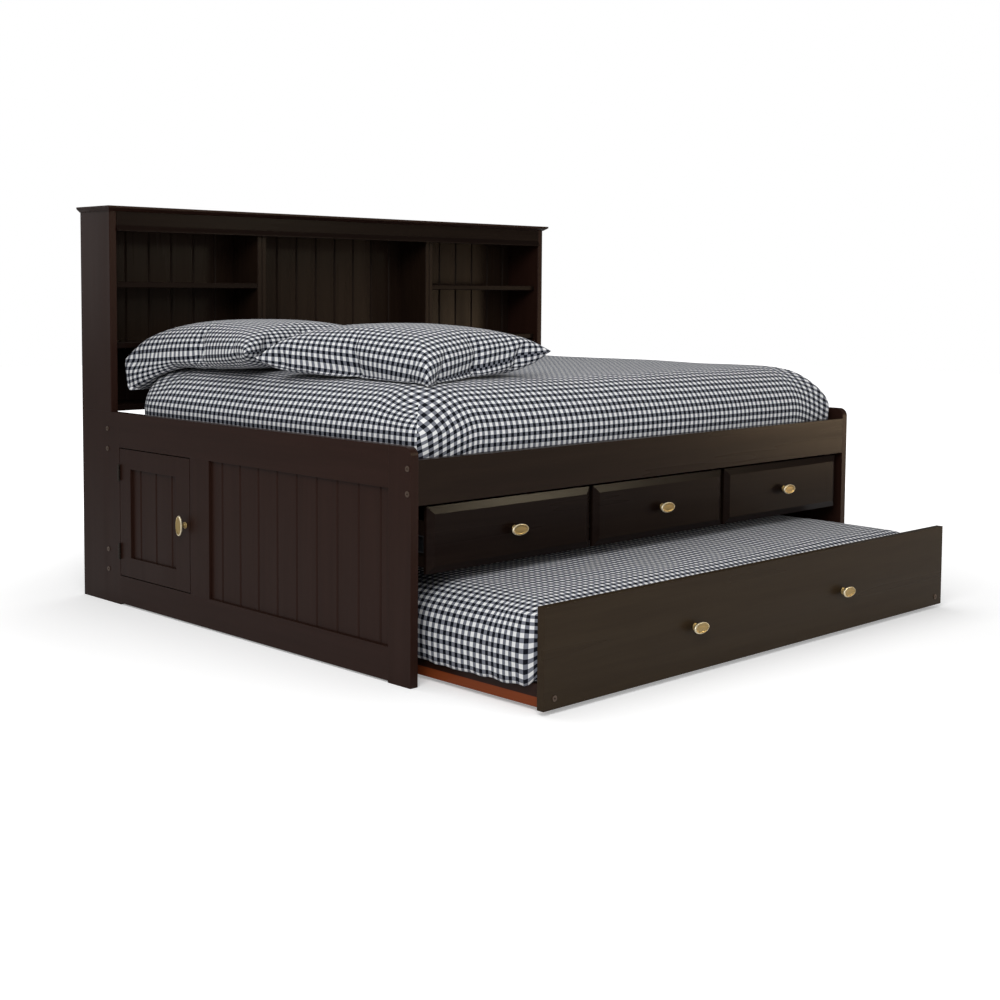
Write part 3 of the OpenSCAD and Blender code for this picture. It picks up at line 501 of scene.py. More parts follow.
@dataclass
class SoftBlock:
    """A mattress in its fitted cover, drawn from a box whose edges and plan corners are rounded.

    A place on the box is known by its inset from the nearest side and its depth under the top.
    Lengths are in metres: zone, inward and downward lay out the shoulder; tight, tight_back and
    loose are corner radii; dart_head is the share of the shoulder's arc at which the dart starts;
    plain_over is the length over which the fanned cloth goes over into plain cloth; width is how
    much wider cloth without darts is drawn.
    """

    name: str
    low: Array
    high: Array
    zone: float = 0.23
    inward: float = 0.22
    downward: float = 0.14
    foot: float = 0.030
    tight: float = 0.03
    tight_back: float = 0.13
    loose: float = 0.10
    tight_below: float = 0.45
    loose_above: float = 0.95
    edge_drop: float = 0.002
    crown: float = 0.004
    bulge: float = 0.010
    overhang: float = 0.0
    sag: float = 0.0
    dart: bool = True
    dart_head: float = 0.90
    plain_over: float = 0.10
    width: float = 1.13
    edge_fade: float = 9.0
    dome_reach: float = 0.22
    side_power: int = 10
    fold: float = 0.003
    wave: float = 0.0022
    step: float = 0.0125
    seed: int = 3

    def __post_init__(self) -> None:
        """Keep the half sizes and the arc length of the shoulder's curve against its angle."""
        self.size = self.high - self.low
        self.half = self.size[:2] / 2
        self.angle = np.linspace(0, math.pi / 2, 361)
        a, b = np.sin(self.angle), np.cos(self.angle)
        pull = self._pull(a, b) / np.maximum(a, b)
        step = np.hypot(np.diff(a * pull) * self.inward, np.diff(b * pull) * self.downward)
        self.arc = np.concatenate([[0], np.cumsum(step)])

    @staticmethod
    def _pull(a: Array, b: Array) -> Array:
        """Give the share by which a place is drawn in, so that a square's rim meets the shoulder.

        The shoulder is the curve where the cube of a plus the square of b is one. The share is
        found by Newton steps along the ray from the inner corner.
        """
        top = np.maximum(np.maximum(a, b), 1e-9)
        u, v = a / top, b / top
        t = 1 / np.maximum(np.hypot(u, v), 1e-9)
        for _ in range(7):
            t = t - ((t * u)**3 + (t * v)**2 - 1) / np.maximum(3 * u**3 * t**2 + 2 * v**2 * t, 1e-9)
        return t

    def _reach(self, inset: Array, depth: Array) -> Array:
        """Length along the cloth from the zone's centre, out over the shoulder and down.

        It is flat as far as the shoulder, then the arc of its curve at the angle that the place
        has in the unit square, then straight down.
        """
        a = np.clip(1 - inset / self.inward, 0, 1)
        b = np.clip(1 - depth / self.downward, 0, 1)
        turned = np.interp(np.arctan2(a, b), self.angle, self.arc)
        flat = self.zone - np.maximum(inset, self.inward)
        return flat + turned + np.clip(depth - self.downward, 0, None)

    def _flat(self, x: Array, y: Array, depth: Array, front: bool) -> Array:
        """Lay a place of the box out on the cloth.

        Round a corner the cloth fans out from the corner zone's centre, at the angle of the place,
        and past the dart's head the fan closes so that its width stays the same. On the sides
        facing along X the cloth goes over into its plain unrolled state under the shoulder's
        middle. Without darts both directions of the cloth are laid out on their own.

        Args:
            x: box coordinate from the middle.
            y: box coordinate from the middle.
            depth: depth under the top.
            front: whether the dart's edge at the diagonal belongs to the front or back flap.

        Returns:
            Cloth coordinates in metres.
        """
        p = np.stack([x, y], -1)
        centre = self.half - self.zone
        q = np.clip(np.abs(p) - centre, 0, None)
        if not self.dart:
            own = self._reach(self.half - np.abs(p), np.stack([depth * (not front),
                                                               depth * front], -1))
            return np.sign(p) * (np.minimum(np.abs(p), centre)
                                 + np.where(q > 0, self.width * own, 0))
        inset = np.min(self.half - np.abs(p), -1)
        reach = self._reach(inset, depth)
        turn = np.arctan2(q[..., 0], q[..., 1])
        head = self.zone - self.inward + self.dart_head * self.arc[-1]
        close = np.minimum(1, head / np.maximum(reach, 1e-6))
        flap = turn <= math.pi / 4 + 1e-9 if front else turn < math.pi / 4 - 1e-9
        turn = np.where(flap, turn * close, math.pi / 2 - (math.pi / 2 - turn) * close)
        out = np.stack([np.sin(turn), np.cos(turn)], -1) * reach[..., None]
        if not front:
            start = self.zone - self.inward + self.arc[len(self.arc) // 2]
            flat = ease(np.clip((reach - start) / self.plain_over, 0, 1)[..., None])
            out = out * (1 - flat) + np.stack([reach, q[..., 1]], -1) * flat
        out = np.where((q > 0).any(-1)[..., None], out, 0)
        return np.sign(p) * (np.minimum(np.abs(p), centre) + out)

    def patches(self) -> list[Sheet]:
        """Build the six sides of the box, each with its flat cloth coordinates.

        Returns:
            Patches before rounding, centred on the plan, with z from the floor.
        """
        hw, hd = self.half
        count = [max(4, round(length / self.step)) for length in self.size]
        xs, ys = np.linspace(-hw, hw, count[0] + 1), np.linspace(-hd, hd, count[1] + 1)
        zs = np.linspace(self.low[2], self.high[2], count[2] + 1)
        top = self.high[2]
        x, y = np.meshgrid(xs, ys, indexing="ij")
        cloth = self._flat(x, y, np.zeros_like(x), True)
        found = [Sheet(np.stack([x, y, np.full_like(x, top)], -1), cloth),
                 Sheet(np.stack([x, y, np.full_like(x, self.low[2])], -1),
                       np.stack([x + 3.0, y], -1)).flipped()]
        for side in (-1, 1):
            for front, run in ((True, xs), (False, ys)):
                along, z = np.meshgrid(run, zs, indexing="ij")
                fixed = np.full_like(along, side * (hd if front else hw))
                x, y = (along, fixed) if front else (fixed, along)
                sheet = Sheet(np.stack([x, y, z], -1), self._flat(x, y, top - z, front))
                found.append(sheet if (side < 0) == front else sheet.flipped())
        return found

    def _round_edge(self, p: Array, level: float, toward: float, inward: float,
                    downward: float) -> Array:
        """Round the edge between a flat face and the sides to the shoulder's curve.

        With a and b the nearness to the side and to the face, from 0 to 1 over the two lengths,
        the square of a and b is drawn in along rays from its inner corner.
        """
        inset = np.min(self.half - np.abs(p[..., :2]), -1)
        depth = (level - p[..., 2]) * toward
        a = np.clip(1 - inset / inward, 0, 1)
        b = np.clip(1 - depth / downward, 0, 1)
        both = (a > 0) & (b > 0)
        pull = np.where(both, self._pull(a, b), 1.0)
        drawn = inset + inward * a * (1 - pull)
        place = np.abs(p[..., :2])
        limit = self.half - drawn[..., None]
        old_limit = self.half - inset[..., None]
        out = p.copy()
        shift = np.where(place >= old_limit - 1e-7, limit, np.minimum(place, limit))
        zone = np.clip(place - (self.half - self.zone), 0, None)
        ratio = (self.zone - drawn) / np.maximum(self.zone - inset, 1e-6)
        corner = (zone > 0).all(-1)[..., None]
        fan = (self.half - self.zone) + zone * ratio[..., None]
        out[..., :2] = np.sign(p[..., :2]) * np.where(corner, fan, shift)
        out[..., 2] = p[..., 2] - toward * downward * b * (1 - pull)
        return out

    def _round_plan(self, p: Array, radius: Array) -> Array:
        """Round the plan corners: squares round each corner's centre become quarter circles."""
        centre = self.half - radius[..., None]
        q = np.clip(np.abs(p[..., :2]) - centre, 0, None)
        both = (q > 0).all(-1)
        pull = np.where(both, q.max(-1) / np.maximum(np.hypot(q[..., 0], q[..., 1]), 1e-9), 1.0)
        out = p.copy()
        out[..., :2] = np.sign(p[..., :2]) * (np.minimum(np.abs(p[..., :2]), centre)
                                              + q * pull[..., None])
        return out

    def shape(self, p: Array) -> Array:
        """Round a box point, then add crown, bulge, folds, slow waves and the sag past the deck.

        The crown rises with one less a falling exponential of the inset, the bulge is the sine of
        the height over the side, and the sag is the square of how far a place is from the top.
        """
        p = self._round_edge(p, self.high[2], 1.0, self.inward, self.downward)
        p = self._round_edge(p, self.low[2], -1.0, self.foot, self.foot)
        up = np.clip((p[..., 2] - self.low[2]) / self.size[2], 0, 1)
        mix = np.clip((up - self.tight_below) / (self.loose_above - self.tight_below), 0, 1)
        low = np.where(p[..., 1] > 0, self.tight_back, self.tight)
        p = self._round_plan(p, low + (self.loose - low) * ease(mix))
        fade = self.edge_fade
        away = np.exp(-fade * np.clip(self.half - np.abs(p[..., :2]), 0, None)).sum(-1)
        inset = np.clip(-np.log(away) / fade, 0, None)
        dome = self.crown - (self.edge_drop + self.crown) * np.exp(-inset / self.dome_reach)
        side = self.bulge * (np.sin(np.pi * up) - 0.4)
        fold = ripple(p[..., 0] + p[..., 1], p[..., 2] * 0.5, self.seed + 1, 12, 0.30, 0.05)
        slow = ripple(p[..., 0], p[..., 1] + p[..., 2], self.seed, 14, 0.9, 0.14)
        share = p[..., :2] / self.half
        out = p.copy()
        out[..., 2] += (dome + slow * self.wave) * up**2
        out[..., :2] += (np.sign(share) * (side - np.abs(fold * self.fold))[..., None]
                         * np.abs(share) ** self.side_power)
        if self.overhang:
            over = np.clip((np.abs(out[..., 0]) - self.half[0]) / self.overhang + 1, 0, 1)
            out[..., 2] -= self.sag * over * (1 - up)**2
        out[..., :2] += ((self.high + self.low) / 2)[:2]
        return out

    def build(self) -> Object:
        """Make the mattress mesh."""
        made = [Sheet(self.shape(s.points), s.flat) for s in self.patches()]
        return skin(self.name, made, weld=1e-5)


STUFFING = {"quality": 5, "mass": 0.25, "tension_stiffness": 22, "compression_stiffness": 12,
            "shear_stiffness": 4, "bending_stiffness": 0.35, "tension_damping": 12,
            "air_damping": 2.5, "use_pressure": True}


@dataclass
class Corner:
    """How one corner of a pillow lies: its seam's lift, and how far the seam is drawn in."""

    lift: float = 0.0
    tuck: float = 0.0


@dataclass
class Pillow:
    """A stuffed pillow: two flat sheets sewn round the edge and blown up as cloth.

    Corners are given in the order of low x low y, high x low y, low x high y, high x high y.
    The open end is the part of the sheet past open_from; its hanging wall comes back from the
    first length of wall on, over the second. Still is the share of a corner's lift that the
    pillow's middle keeps; press is the softness of its rest on what is below; clear is its gap.
    """

    name: str
    low: Array
    high: Array
    corners: tuple[Corner, Corner, Corner, Corner]
    turn: float = 0.0
    cut: tuple[float, float] = (0.66, 0.76)
    step: float = 0.010
    pressure: float = 3.0
    frames: int = 22
    start: float = 0.035
    under: Sequence["Heights"] = ()
    plump: float = 0.72
    hang: float = 0.0
    open_from: float = 0.68
    wall: tuple[float, float] = (0.26, 0.12)
    ear_power: int = 5
    rim_power: int = 10
    still: float = 0.15
    press: float = 0.008
    clear: float = 4 * MM
    seed: int = 5

    def _grid(self) -> tuple[Array, Array]:
        """Give the two parameters of the sheets, from -1 to 1."""
        nu, nv = round(self.cut[0] / self.step), round(self.cut[1] / self.step)
        return np.meshgrid(np.linspace(-1, 1, nu + 1), np.linspace(-1, 1, nv + 1), indexing="ij")

    def flat_mesh(self) -> Object:
        """Lay the two sheets on each other, sharing their edge, with cloth coordinates.

        Half the thickness is the root of one less each parameter's square, times a soft ripple.
        """
        a, b = self._grid()
        x, y = a * self.cut[0] / 2, b * self.cut[1] / 2
        lift = self.start * ((1 - a**2) * (1 - b**2)) ** 0.5
        lift = lift * (1 + 0.12 * ripple(x, y, self.seed, 9, 0.5, 0.12))
        top = Sheet(np.stack([x, y, lift], -1), np.stack([x, y], -1))
        low = Sheet(np.stack([x, y, -lift], -1), np.stack([x + 2.0, y], -1)).flipped()
        return skin(self.name, [top, low], weld=1e-5)

    def blow_up(self, obj: Object) -> None:
        """Run the cloth under inner pressure without gravity, and keep the result.

        Args:
            obj: the flat pillow, whose points move.
        """
        cloth = obj.modifiers.new("stuffing", "CLOTH")
        for name, value in STUFFING.items():
            setattr(cloth.settings, name, value)
        cloth.settings.uniform_pressure_force = self.pressure
        cloth.settings.effector_weights.gravity = 0.0
        cloth.point_cache.frame_start = 1
        cloth.point_cache.frame_end = self.frames
        scene = bpy.context.scene
        for now in range(1, self.frames + 1):
            scene.frame_set(now)
        seen = obj.evaluated_get(bpy.context.evaluated_depsgraph_get())
        blown = coordinates(seen)
        obj.modifiers.remove(cloth)
        move_points(obj, blown)
        scene.frame_set(1)

    def settle(self, p: Array, sheet: Array, below: Array) -> Array:
        """Fit the pillow to its place, move its corners and press it on what lies under it.

        The thickness is made blunter, but for the corners, by raising its share of the greatest
        to a power. The corners' lifts and tucks are mixed over the sheet by its two parameters.
        Lifts fade slowly from the seam to the middle, and a tuck draws only the seam's own
        surroundings towards the middle. At the open end the lower sheet drops from the seam on
        the low x side as a hanging wall, and comes back further in. Points under the ground are
        pressed up to it along a smooth curve.

        Args:
            p: points of the blown up pillow.
            sheet: the same points on the flat sheet, as shares of its half sizes.
            below: which points belong to the lower sheet.

        Returns:
            The points where the pillow lies.
        """
        size = self.high - self.low
        p = (p - (p.max(0) + p.min(0)) / 2) * (size / (p.max(0) - p.min(0)))
        thick = np.abs(p[:, 2]) / (size[2] / 2)
        ear = np.abs(sheet[:, 0] * sheet[:, 1])**self.ear_power
        p[:, 2] = np.sign(p[:, 2]) * size[2] / 2 * thick**(self.plump + (1 - self.plump) * ear)
        s, t = (sheet[:, 0] + 1) / 2, (sheet[:, 1] + 1) / 2
        share = np.stack([(1 - s) * (1 - t), s * (1 - t), (1 - s) * t, s * t], -1)
        lift = share @ np.array([c.lift for c in self.corners])
        tuck = share @ np.array([c.tuck for c in self.corners])
        rim = np.maximum(np.abs(sheet[:, 0]), np.abs(sheet[:, 1]))
        p[:, 2] += lift * (self.still + (1 - self.still) * rim**3)
        away = p[:, :2] / np.maximum(np.hypot(p[:, 0], p[:, 1]), 1e-6)[:, None]
        p[:, :2] -= away * (tuck * rim**self.rim_power)[:, None]
        if self.hang:
            along = s * self.cut[0]
            end = np.clip((t - self.open_from) / (1 - self.open_from), 0, 1) * below
            fade = 1 - ease(np.clip((along - self.wall[0]) / self.wall[1], 0, 1))
            drop = end * np.minimum(along, self.hang) * fade
            p[:, 2] -= drop
            p[:, 0] -= drop
        c, s = math.cos(math.radians(self.turn)), math.sin(math.radians(self.turn))
        p[:, :2] = p[:, :2] @ np.array([[c, s], [-s, c]])
        p = p + (self.high + self.low) / 2
        for heights in self.under:
            ground = heights.at(p[:, 0], p[:, 1]) + self.clear
            p[:, 2] = ground + self.press * np.logaddexp(0, (p[:, 2] - ground) / self.press)
        return p

    def build(self) -> Object:
        """Make the pillow: sewn flat, blown up, laid down and smoothed once."""
        obj = self.flat_mesh()
        flat = coordinates(obj)
        sheet, below = flat[:, :2] / (np.array(self.cut) / 2), flat[:, 2] < -1e-6
        self.blow_up(obj)
        move_points(obj, self.settle(coordinates(obj), sheet, below))
        finer = obj.modifiers.new("smooth", "SUBSURF")
        finer.levels = finer.render_levels = 1
        return obj


@dataclass
class Heights:
    """The height of a piece's upper side over the plan, kept on a raster of cells."""

    points: Array
    cell: float = 0.012

    def __post_init__(self) -> None:
        """Take the highest point in each cell, fill the gaps from the neighbours, and smooth."""
        self.corner = self.points[:, :2].min(0) - 3 * self.cell
        span = self.points[:, :2].max(0) - self.corner + 3 * self.cell
        shape = np.ceil(span / self.cell).astype(int) + 1
        self.raster = np.full(shape, -1.0)
        at = np.round((self.points[:, :2] - self.corner) / self.cell).astype(int)
        np.maximum.at(self.raster, (at[:, 0], at[:, 1]), self.points[:, 2])
        near = np.stack([np.roll(self.raster, step, (0, 1)) for step in
                         ((0, 1), (1, 0), (0, -1), (-1, 0), (1, 1), (-1, -1), (1, -1), (-1, 1))])
        self.raster = np.where(self.raster < 0, near.max(0), self.raster)

    def at(self, x: Array, y: Array) -> Array:
        """Read the height over places, mixed between the four cells round each."""
        spot = (np.stack([x, y], -1) - self.corner) / self.cell
        top = np.array(self.raster.shape) - 2
        base = np.clip(np.floor(spot).astype(int), 0, top)
        part = np.clip(spot - base, 0, 1)
        r, i, j = self.raster, base[:, 0], base[:, 1]
        low = r[i, j] * (1 - part[:, 0]) + r[i + 1, j] * part[:, 0]
        high = r[i, j + 1] * (1 - part[:, 0]) + r[i + 1, j + 1] * part[:, 0]
        return low * (1 - part[:, 1]) + high * part[:, 1]


@dataclass
class OvalKnob:
    """Oval pull with a raised rim on a round foot, a loft through oval rings."""

    name: str
    at: Array
    out: Array
    along: Array
    length: float = 60 * MM
    height: float = 30 * MM
    reach: float = 25 * MM
    rings: Sequence[tuple[float, float, float, float]] = field(default_factory=lambda: (
        # share of half length, share of half height, share of reach, wear; foot first
        (0.0, 0.0, 0.0, 0.0), (0.33, 0.66, 0.0, 0.1), (0.335, 0.67, 0.05, 0.5),
        (0.31, 0.62, 0.09, 0.4), (0.2, 0.4, 0.13, 0.0), (0.175, 0.35, 0.2, 0.0),
        (0.175, 0.35, 0.42, 0.0), (0.24, 0.42, 0.5, 0.0), (0.48, 0.55, 0.57, 0.1),
        (0.76, 0.78, 0.65, 0.25), (0.92, 0.92, 0.74, 0.5), (0.99, 0.985, 0.82, 0.8),
        (1.0, 1.0, 0.88, 0.9), (0.985, 0.97, 0.94, 1.0), (0.95, 0.91, 0.985, 1.0),
        (0.905, 0.83, 1.0, 1.0), (0.86, 0.75, 0.985, 0.8), (0.82, 0.68, 0.95, 0.2),
        (0.77, 0.61, 0.93, 0.0), (0.6, 0.46, 0.935, 0.05), (0.35, 0.26, 0.95, 0.2),
        (0.12, 0.09, 0.955, 0.3), (0.0, 0.0, 0.955, 0.3)))

    def build(self) -> Object:
        """Loft the rings.

        A point is the ring's half sizes times the cosine and sine of its angle, set on the
        axes along, up and out of the knob. Wear is the product of the nearness to the rim and to
        the face, with a little on the foot's edge.
        """
        rings = np.array(self.rings)
        turn = np.linspace(0, 2 * np.pi, 57)
        up = np.cross(self.out, self.along)
        a = rings[:, 0, None] * self.length / 2 * np.cos(turn)
        b = rings[:, 1, None] * self.height / 2 * np.sin(turn)
        c = np.repeat(rings[:, 2, None] * self.reach, len(turn), 1)
        points = (self.at + a[..., None] * self.along + b[..., None] * up
                  + c[..., None] * self.out)
        flat = np.stack([a, b], -1)
        obj = skin(self.name, [Sheet(points, flat)], weld=1e-6)
        p = coordinates(obj) - self.at
        reach = p @ self.out / self.reach
        wide = np.hypot(p @ self.along / (self.length / 2), p @ up / (self.height / 2))
        rim, face = np.clip((wide - 0.72) * 3.4, 0, 1), np.clip((reach - 0.55) * 3, 0, 1)
        foot = np.clip(1 - np.abs(reach - 0.05) / 0.05, 0, 1)
        # the wear picks out the rubbed rim and foot; its near-white tone there is also a painted
        # highlight
        wear = rim * face + 0.4 * foot
        note = obj.data.attributes.new("wear", "FLOAT", "POINT")
        note.data.foreach_set("value", wear.astype(np.float32))
        return obj


# ---- sub-assemblies


class Palette(dict[str, Material]):
    """All finishes of the bed by short name, each built once."""

    def __init__(self) -> None:
        """Build the shared groups and every material."""
        super().__init__()
        grain, check, patina = grain_group(), check_group(), patina_group()
        stains = {"frame": ("espresso", {}),
                  # front: a darker copy of the espresso, painted shade on the front rail, the rear
                  # rails and the bookcase's dividers and back
                  "front": ("walnut", {"deep": "#201610", "warm": "#251a13", "gloss": 0.28,
                                       "sheen_level": 0.08}),
                  # dark: a still darker copy of the espresso, painted shade on the fascia, its
                  # moulding, the shelves, the bookcase floor and the drawer fronts
                  "dark": ("espresso_painted_deep_shade", {"deep": "#150c09", "warm": "#1a110d", "gloss": 0.30,
                                     "sheen_level": 0.06}),
                  "inner": ("inner", {"deep": "#241a15", "warm": "#33261f", "gloss": 0.5})}
        for use, (name, look) in stains.items():
            for way in Grain:
                self[f"{use}_{way.name}"] = StainedWood(
                    f"{name}_{way.name.lower()}", grain=way, **look).make(grain)
        # pull: a lighter copy of the espresso on the trundle front, a painted sheen standing in for
        # the light that front catches from the floor
        self["pull"] = StainedWood("walnut_pull", deep="#2f2418", warm="#34291c", gloss=0.30,
                                   sheen_level=0.08).make(grain)
        # the trundle's side boards get the painted lit band on their lowest 33 mm
        self["side"] = StainedWood("trundle_side", grain=Grain.ALONG_Y,
                                   painted_lit_band_below=33 * MM).make(grain)
        for use, finish in (("brass", AgedBrass("aged_brass")),
                            ("bronze", AgedBrass("dark_bronze", dark="#2e2620", light="#6a5840")),
                            ("bolt", AgedBrass("bolt_bronze", dark="#5b4b40", light="#9a8368")),
                            ("steel", PlatedSteel("plated_steel")),
                            ("rubber", MouldedRubber("moulded_rubber"))):
            self[use] = finish.make(patina)
        self["cloth"] = Gingham("gingham_cotton").make(check)


@dataclass(frozen=True)
class Lamp:
    """One soft rectangular lamp.

    It hangs at one point and faces another; shine is whether glossy surfaces mirror it, and wash
    whether it lights matt ones.
    """

    name: str
    at: Point
    aim: Point
    size: tuple[float, float]
    watts: float
    shine: bool = True
    wash: bool = True
    tint: str = "#ffffff"

    def hang(self) -> None:
        """Put the lamp in the scene."""
        data = bpy.data.lights.new(self.name, "AREA")
        data.shape = "RECTANGLE"
        data.size, data.size_y = self.size
        data.energy = self.watts
        data.color = linear(self.tint)[:3]
        obj = bpy.data.objects.new(self.name, data)
        obj.location = self.at
        obj.rotation_mode = "QUATERNION"
        turn = (Vector(self.aim) - Vector(self.at)).to_track_quat("-Z", "Y")
        obj.rotation_quaternion = turn
        obj.visible_glossy, obj.visible_diffuse = self.shine, self.wash
        bpy.context.scene.collection.objects.link(obj)


LAMPS = (
    Lamp("key", (-3.4, -2.6, 3.4), (0.0, -0.2, 0.4), (2.6, 2.6), 122),
    Lamp("side", (-2.9, 4.6, 1.7), (-0.98, 0.8, 0.9), (2.2, 2.0), 14),
    Lamp("rim", (2.3, -2.95, 2.1), (-0.6, -0.6, 0.45), (0.5, 0.5), 34, wash=False,
         tint="#fff0cc"),
    Lamp("low", (4.7, -3.0, 0.5), (0.6, -0.7, 0.4), (1.2, 0.9), 24, wash=False, tint="#ffdcb0"),
    Lamp("fill", (1.6, -4.6, 1.3), (0.0, 0.0, 0.4), (3.0, 2.0), 33, shine=False),
    Lamp("top", (0.0, 0.8, 4.2), (0.0, 0.1, 0.0), (4.0, 3.0), 62))


@dataclass
class Studio:
    """Pale floor, soft lamps and the camera."""

    eye: Point = (-3.4221, -3.3351, 0.9886)
    heading: float = 43.786
    down: float = 4.027
    roll: float = 0.355
    lens: float = 54.21
    shift: tuple[float, float] = (0.0337, -0.1033)

    def camera(self) -> None:
        """Place the camera: its back axis is opposite the view, right and up turned by the roll."""
        az, el, ro = (math.radians(d) for d in (self.heading, self.down, self.roll))
        ahead = np.array([math.sin(az) * math.cos(el), math.cos(az) * math.cos(el), -math.sin(el)])
        right = np.array([math.cos(az), -math.sin(az), 0.0])
        up = np.cross(right, ahead)
        r2 = math.cos(ro) * right + math.sin(ro) * up
        u2 = -math.sin(ro) * right + math.cos(ro) * up
        data = bpy.data.cameras.new("camera")
        data.sensor_width = 36.0
        data.lens = self.lens
        data.shift_x, data.shift_y = self.shift
        data.clip_end = 60.0
        obj = bpy.data.objects.new("camera", data)
        matrix = np.eye(4)
        matrix[:3, 0], matrix[:3, 1], matrix[:3, 2], matrix[:3, 3] = r2, u2, -ahead, self.eye
        obj.matrix_world = Matrix(matrix.tolist())
        bpy.context.scene.collection.objects.link(obj)
        bpy.context.scene.camera = obj

    def floor(self) -> None:
        """Lay a wide floor that looks white to the camera and still takes a soft shadow."""
        half = 14.0
        grid = np.stack(np.meshgrid(np.linspace(-half, half, 3), np.linspace(-half, half, 3),
                                    indexing="ij") + [np.zeros((3, 3))], -1)
        obj = skin("floor", [Sheet(grid, grid[..., :2])])
        material, w, shader = Finish("pale_floor").start()
        seen = w.add("ShaderNodeLightPath").outputs["Is Camera Ray"]
        far = w.add("ShaderNodeVectorMath",
                    {0: w.add("ShaderNodeTexCoord").outputs["Object"]}, operation="LENGTH")
        glow = w.ramp(far.outputs["Value"], 1.3, 3.2, 0.3, 1.0)
        w.fill(shader, {"Base Color": linear("#f2f2f2"), "Roughness": 0.9,
                        "Specular IOR Level": 0.1, "Emission Color": (1, 1, 1, 1),
                        "Emission Strength": w.math("MULTIPLY", seen, glow)})
        obj.data.materials.append(material)

    def light(self) -> None:
        """Set the world and the lamps."""
        world = bpy.data.worlds.new("studio")
        bpy.context.scene.world = world
        world.use_nodes = True
        w = Weaver(world.node_tree)
        path = w.add("ShaderNodeLightPath").outputs
        bent = w.math("MAXIMUM", path["Is Glossy Ray"], path["Is Transmission Ray"])
        level = w.math("MAXIMUM", w.ramp(bent, 0.0, 1.0, 0.30, 0.10), path["Is Camera Ray"])
        w.fill(world.node_tree.nodes["Background"], {"Color": (1, 1, 1, 1), "Strength": level})
        for lamp in LAMPS:
            lamp.hang()

    def build(self) -> None:
        """Set the whole stage."""
        self.camera()
        self.floor()
        self.light()
        bpy.context.scene.view_settings.view_transform = "Standard"


WOODWORK: dict[str, Sequence[str]] = {
    # front: painted shade, a darker copy of the espresso
    "front_ALONG_X": ("front_rail", "rear_upper_rail", "rear_lower_rail"),
    "front_ALONG_Z": ("bookcase_dividers", "bookcase_back"),
    # dark: painted deep shade, a darker copy of the espresso
    "dark_ALONG_X": ("fascia", "fascia_moulding", "upper_shelves", "lower_shelves",
                     "bookcase_floor", "drawer_left_front", "drawer_mid_front",
                     "drawer_right_front"),
    # pull: painted sheen, a lighter copy of the espresso
    "pull": ("trundle_front",),
    "frame_ALONG_X": ("bookcase_cap",),
    "frame_ALONG_Y": ("left_rails", "right_rails"),
    "frame_ALONG_Z": ("left_stiles", "left_bead_panel", "right_stiles", "right_bead_panels",
                      "rear_side_boards", "bookcase_sides", "door_frame", "door_panel"),
    "inner_ALONG_X": ("slat_cleats", "case_back", "storage_partition", "storage_floor",
                      "storage_back", "drawer_left_box", "drawer_mid_box",
                      "drawer_right_box", "trundle_deck"),
    "inner_ALONG_Y": ("slats", "case_boards"),
    # side: the trundle's side boards, with a painted lit band along their foot
    "side": ("trundle_frame",),
    "bolt": ("frame_bolts", "trundle_bolts"),
    "bronze": ("frame_hinges", "door_hinges"),
    "steel": ("case_runners", "drawer_left_runners", "drawer_mid_runners",
              "drawer_right_runners", "caster_brackets", "door_catch"),
    "rubber": ("wheel_front_left", "wheel_front_right", "wheel_back_left",
               "wheel_back_right")}


class Woodwork:
    """The carried-over boards and fittings, by the finish that WOODWORK gives them."""

    def dress(self, palette: Palette) -> None:
        """Give every carried-over node its material."""
        for finish, nodes in WOODWORK.items():
            for node in nodes:
                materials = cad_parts[node].data.materials
                materials.clear()
                materials.append(palette[finish])
            LOG.info("%s on %d nodes", finish, len(nodes))


@dataclass
class Knobs:
    """Oval pulls on the drawers, the trundle and the door; inset is half a pull's length."""

    inset: float = 30 * MM

    def build(self, palette: Palette) -> None:
        """Make each knob where its node stands, and set it on its body."""
        right, front, up = np.eye(3) * (1, -1, 1)
        plan = [("drawer_left_knob", "drawer_left", front, right),
                ("drawer_mid_knob", "drawer_middle", front, right),
                ("drawer_right_knob", "drawer_right", front, right),
                ("door_knob", "door", -right, up)]
        for node, body, out, along in plan:
            low, high = (np.array(c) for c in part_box(node))
            at = (low + high) / 2 - out * np.abs((high - low) @ out) / 2
            self.set_one(node + "_oval", node, body, at, out, along, palette)
        low, high = (np.array(c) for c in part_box("trundle_knobs"))
        for side, x in (("left", low[0] + self.inset), ("right", high[0] - self.inset)):
            at = np.array([x, high[1], (low[2] + high[2]) / 2])
            self.set_one(f"trundle_knob_{side}", "trundle_knobs", "trundle", at, front, right,
                         palette)

    def set_one(self, name: str, node: str, body: str, at: Array, out: Array, along: Array,
                palette: Palette) -> None:
        """Make one knob, set it on its body and hide the node that it stands for."""
        obj = OvalKnob(name, at, out, along).build()
        obj.data.materials.append(palette["brass"])
        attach(obj, body)
        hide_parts(node)
        LOG.info("knob %s on %s", name, body)


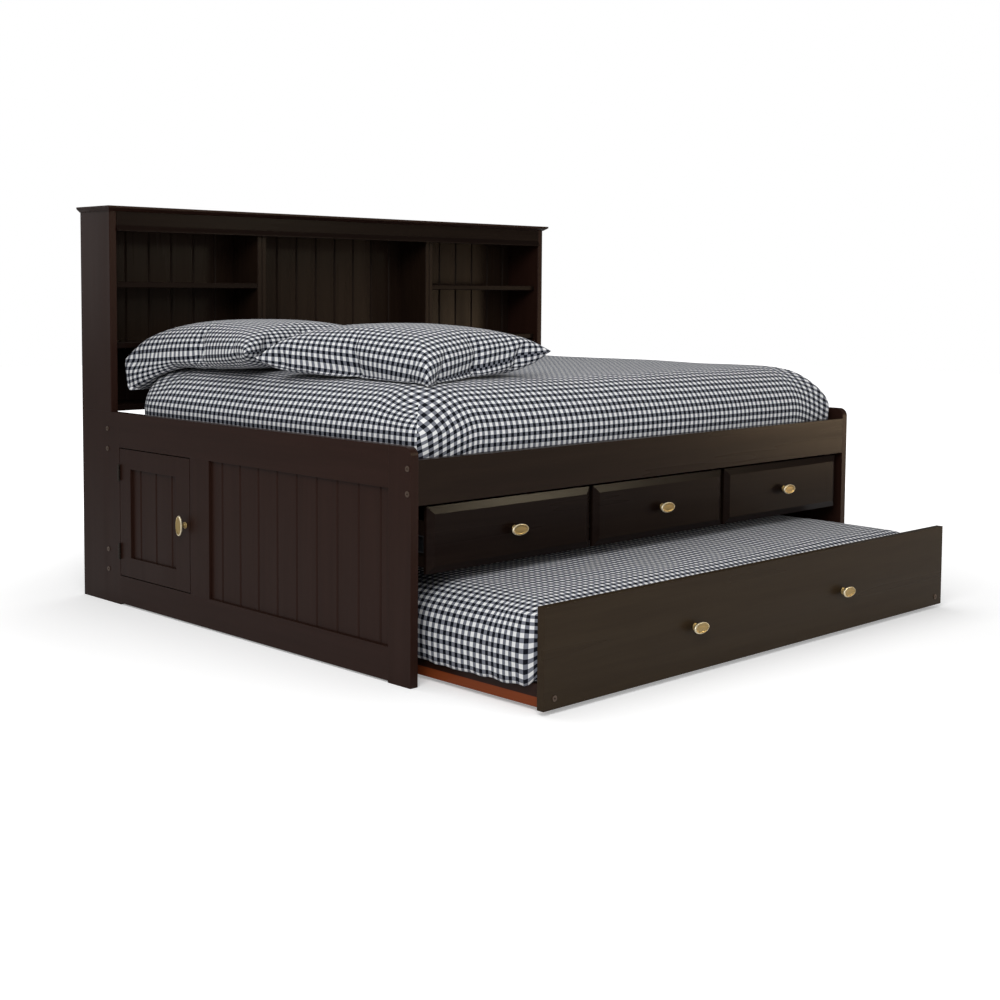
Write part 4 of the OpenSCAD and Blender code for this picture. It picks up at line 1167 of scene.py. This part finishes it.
class Bedding:
    """Both mattresses in their covers and the two pillows."""

    def declare(self, obj: Object, node: str, body: str, palette: Palette) -> None:
        """Give a soft piece its cloth and its body, and hide the node that it stands for."""
        obj.data.materials.append(palette["cloth"])
        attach(obj, body)
        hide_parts(node)

    def mattress(self, name: str, node: str, body: str, palette: Palette,
                 **sizes: float) -> Object:
        """Make one mattress in the place of its node."""
        low, high = (np.array(c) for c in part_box(node))
        obj = SoftBlock(name, low, high, **sizes).build()
        self.declare(obj, node, body, palette)
        LOG.info("mattress %s, %d faces", name, len(obj.data.polygons))
        return obj

    def pillow(self, made: Pillow, node: str, palette: Palette) -> Object:
        """Make one pillow, give it its cloth and body, and hide the node that it stands for."""
        obj = made.build()
        self.declare(obj, node, "bed_frame", palette)
        LOG.info("pillow %s, %d faces", made.name, len(obj.data.polygons))
        return obj

    def build(self, palette: Palette) -> None:
        """Make all the bedding."""
        main = self.mattress("main_mattress", "mattress", "bed_frame", palette)
        self.mattress("pull_out_mattress", "trundle_mattress", "trundle", palette, zone=0.18,
                      inward=0.17, downward=0.12, tight=0.06, tight_back=0.06, loose=0.09,
                      edge_drop=0.004, crown=0.0, foot=0.025, bulge=0.004, overhang=0.014,
                      sag=0.040, dart=False, seed=11)
        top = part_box("mattress")[1][2]
        bed = Heights(coordinates(main))
        low, high = (np.array(c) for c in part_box("pillow_back"))
        low[2], high[2] = top - 4 * MM, top + 154 * MM
        corners = (Corner(-0.012), Corner(0.0), Corner(-0.055), Corner(-0.03))
        back = self.pillow(Pillow("pillow_back_case", low, high, corners, under=(bed,),
                                  hang=0.095, seed=5), "pillow_back", palette)
        middle, half = np.array([-0.592, -0.120, top + 75 * MM]), np.array([0.264, 0.338, 0.079])
        corners = (Corner(-0.100, 0.042), Corner(0.0), Corner(-0.03), Corner(0.0))
        self.pillow(Pillow("pillow_front_case", middle - half, middle + half, corners, turn=6.5,
                           under=(bed, Heights(coordinates(back))), seed=8), "pillow_front",
                    palette)


def main() -> None:
    """Build the stage and the bed's sub-assemblies in order."""
    logging.basicConfig(level=logging.INFO, format="%(message)s")
    Studio().build()
    palette = Palette()
    LOG.info("%d materials", len(palette))
    Woodwork().dress(palette)
    Knobs().build(palette)
    Bedding().build(palette)
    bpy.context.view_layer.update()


if __name__ == "__main__":
    main()
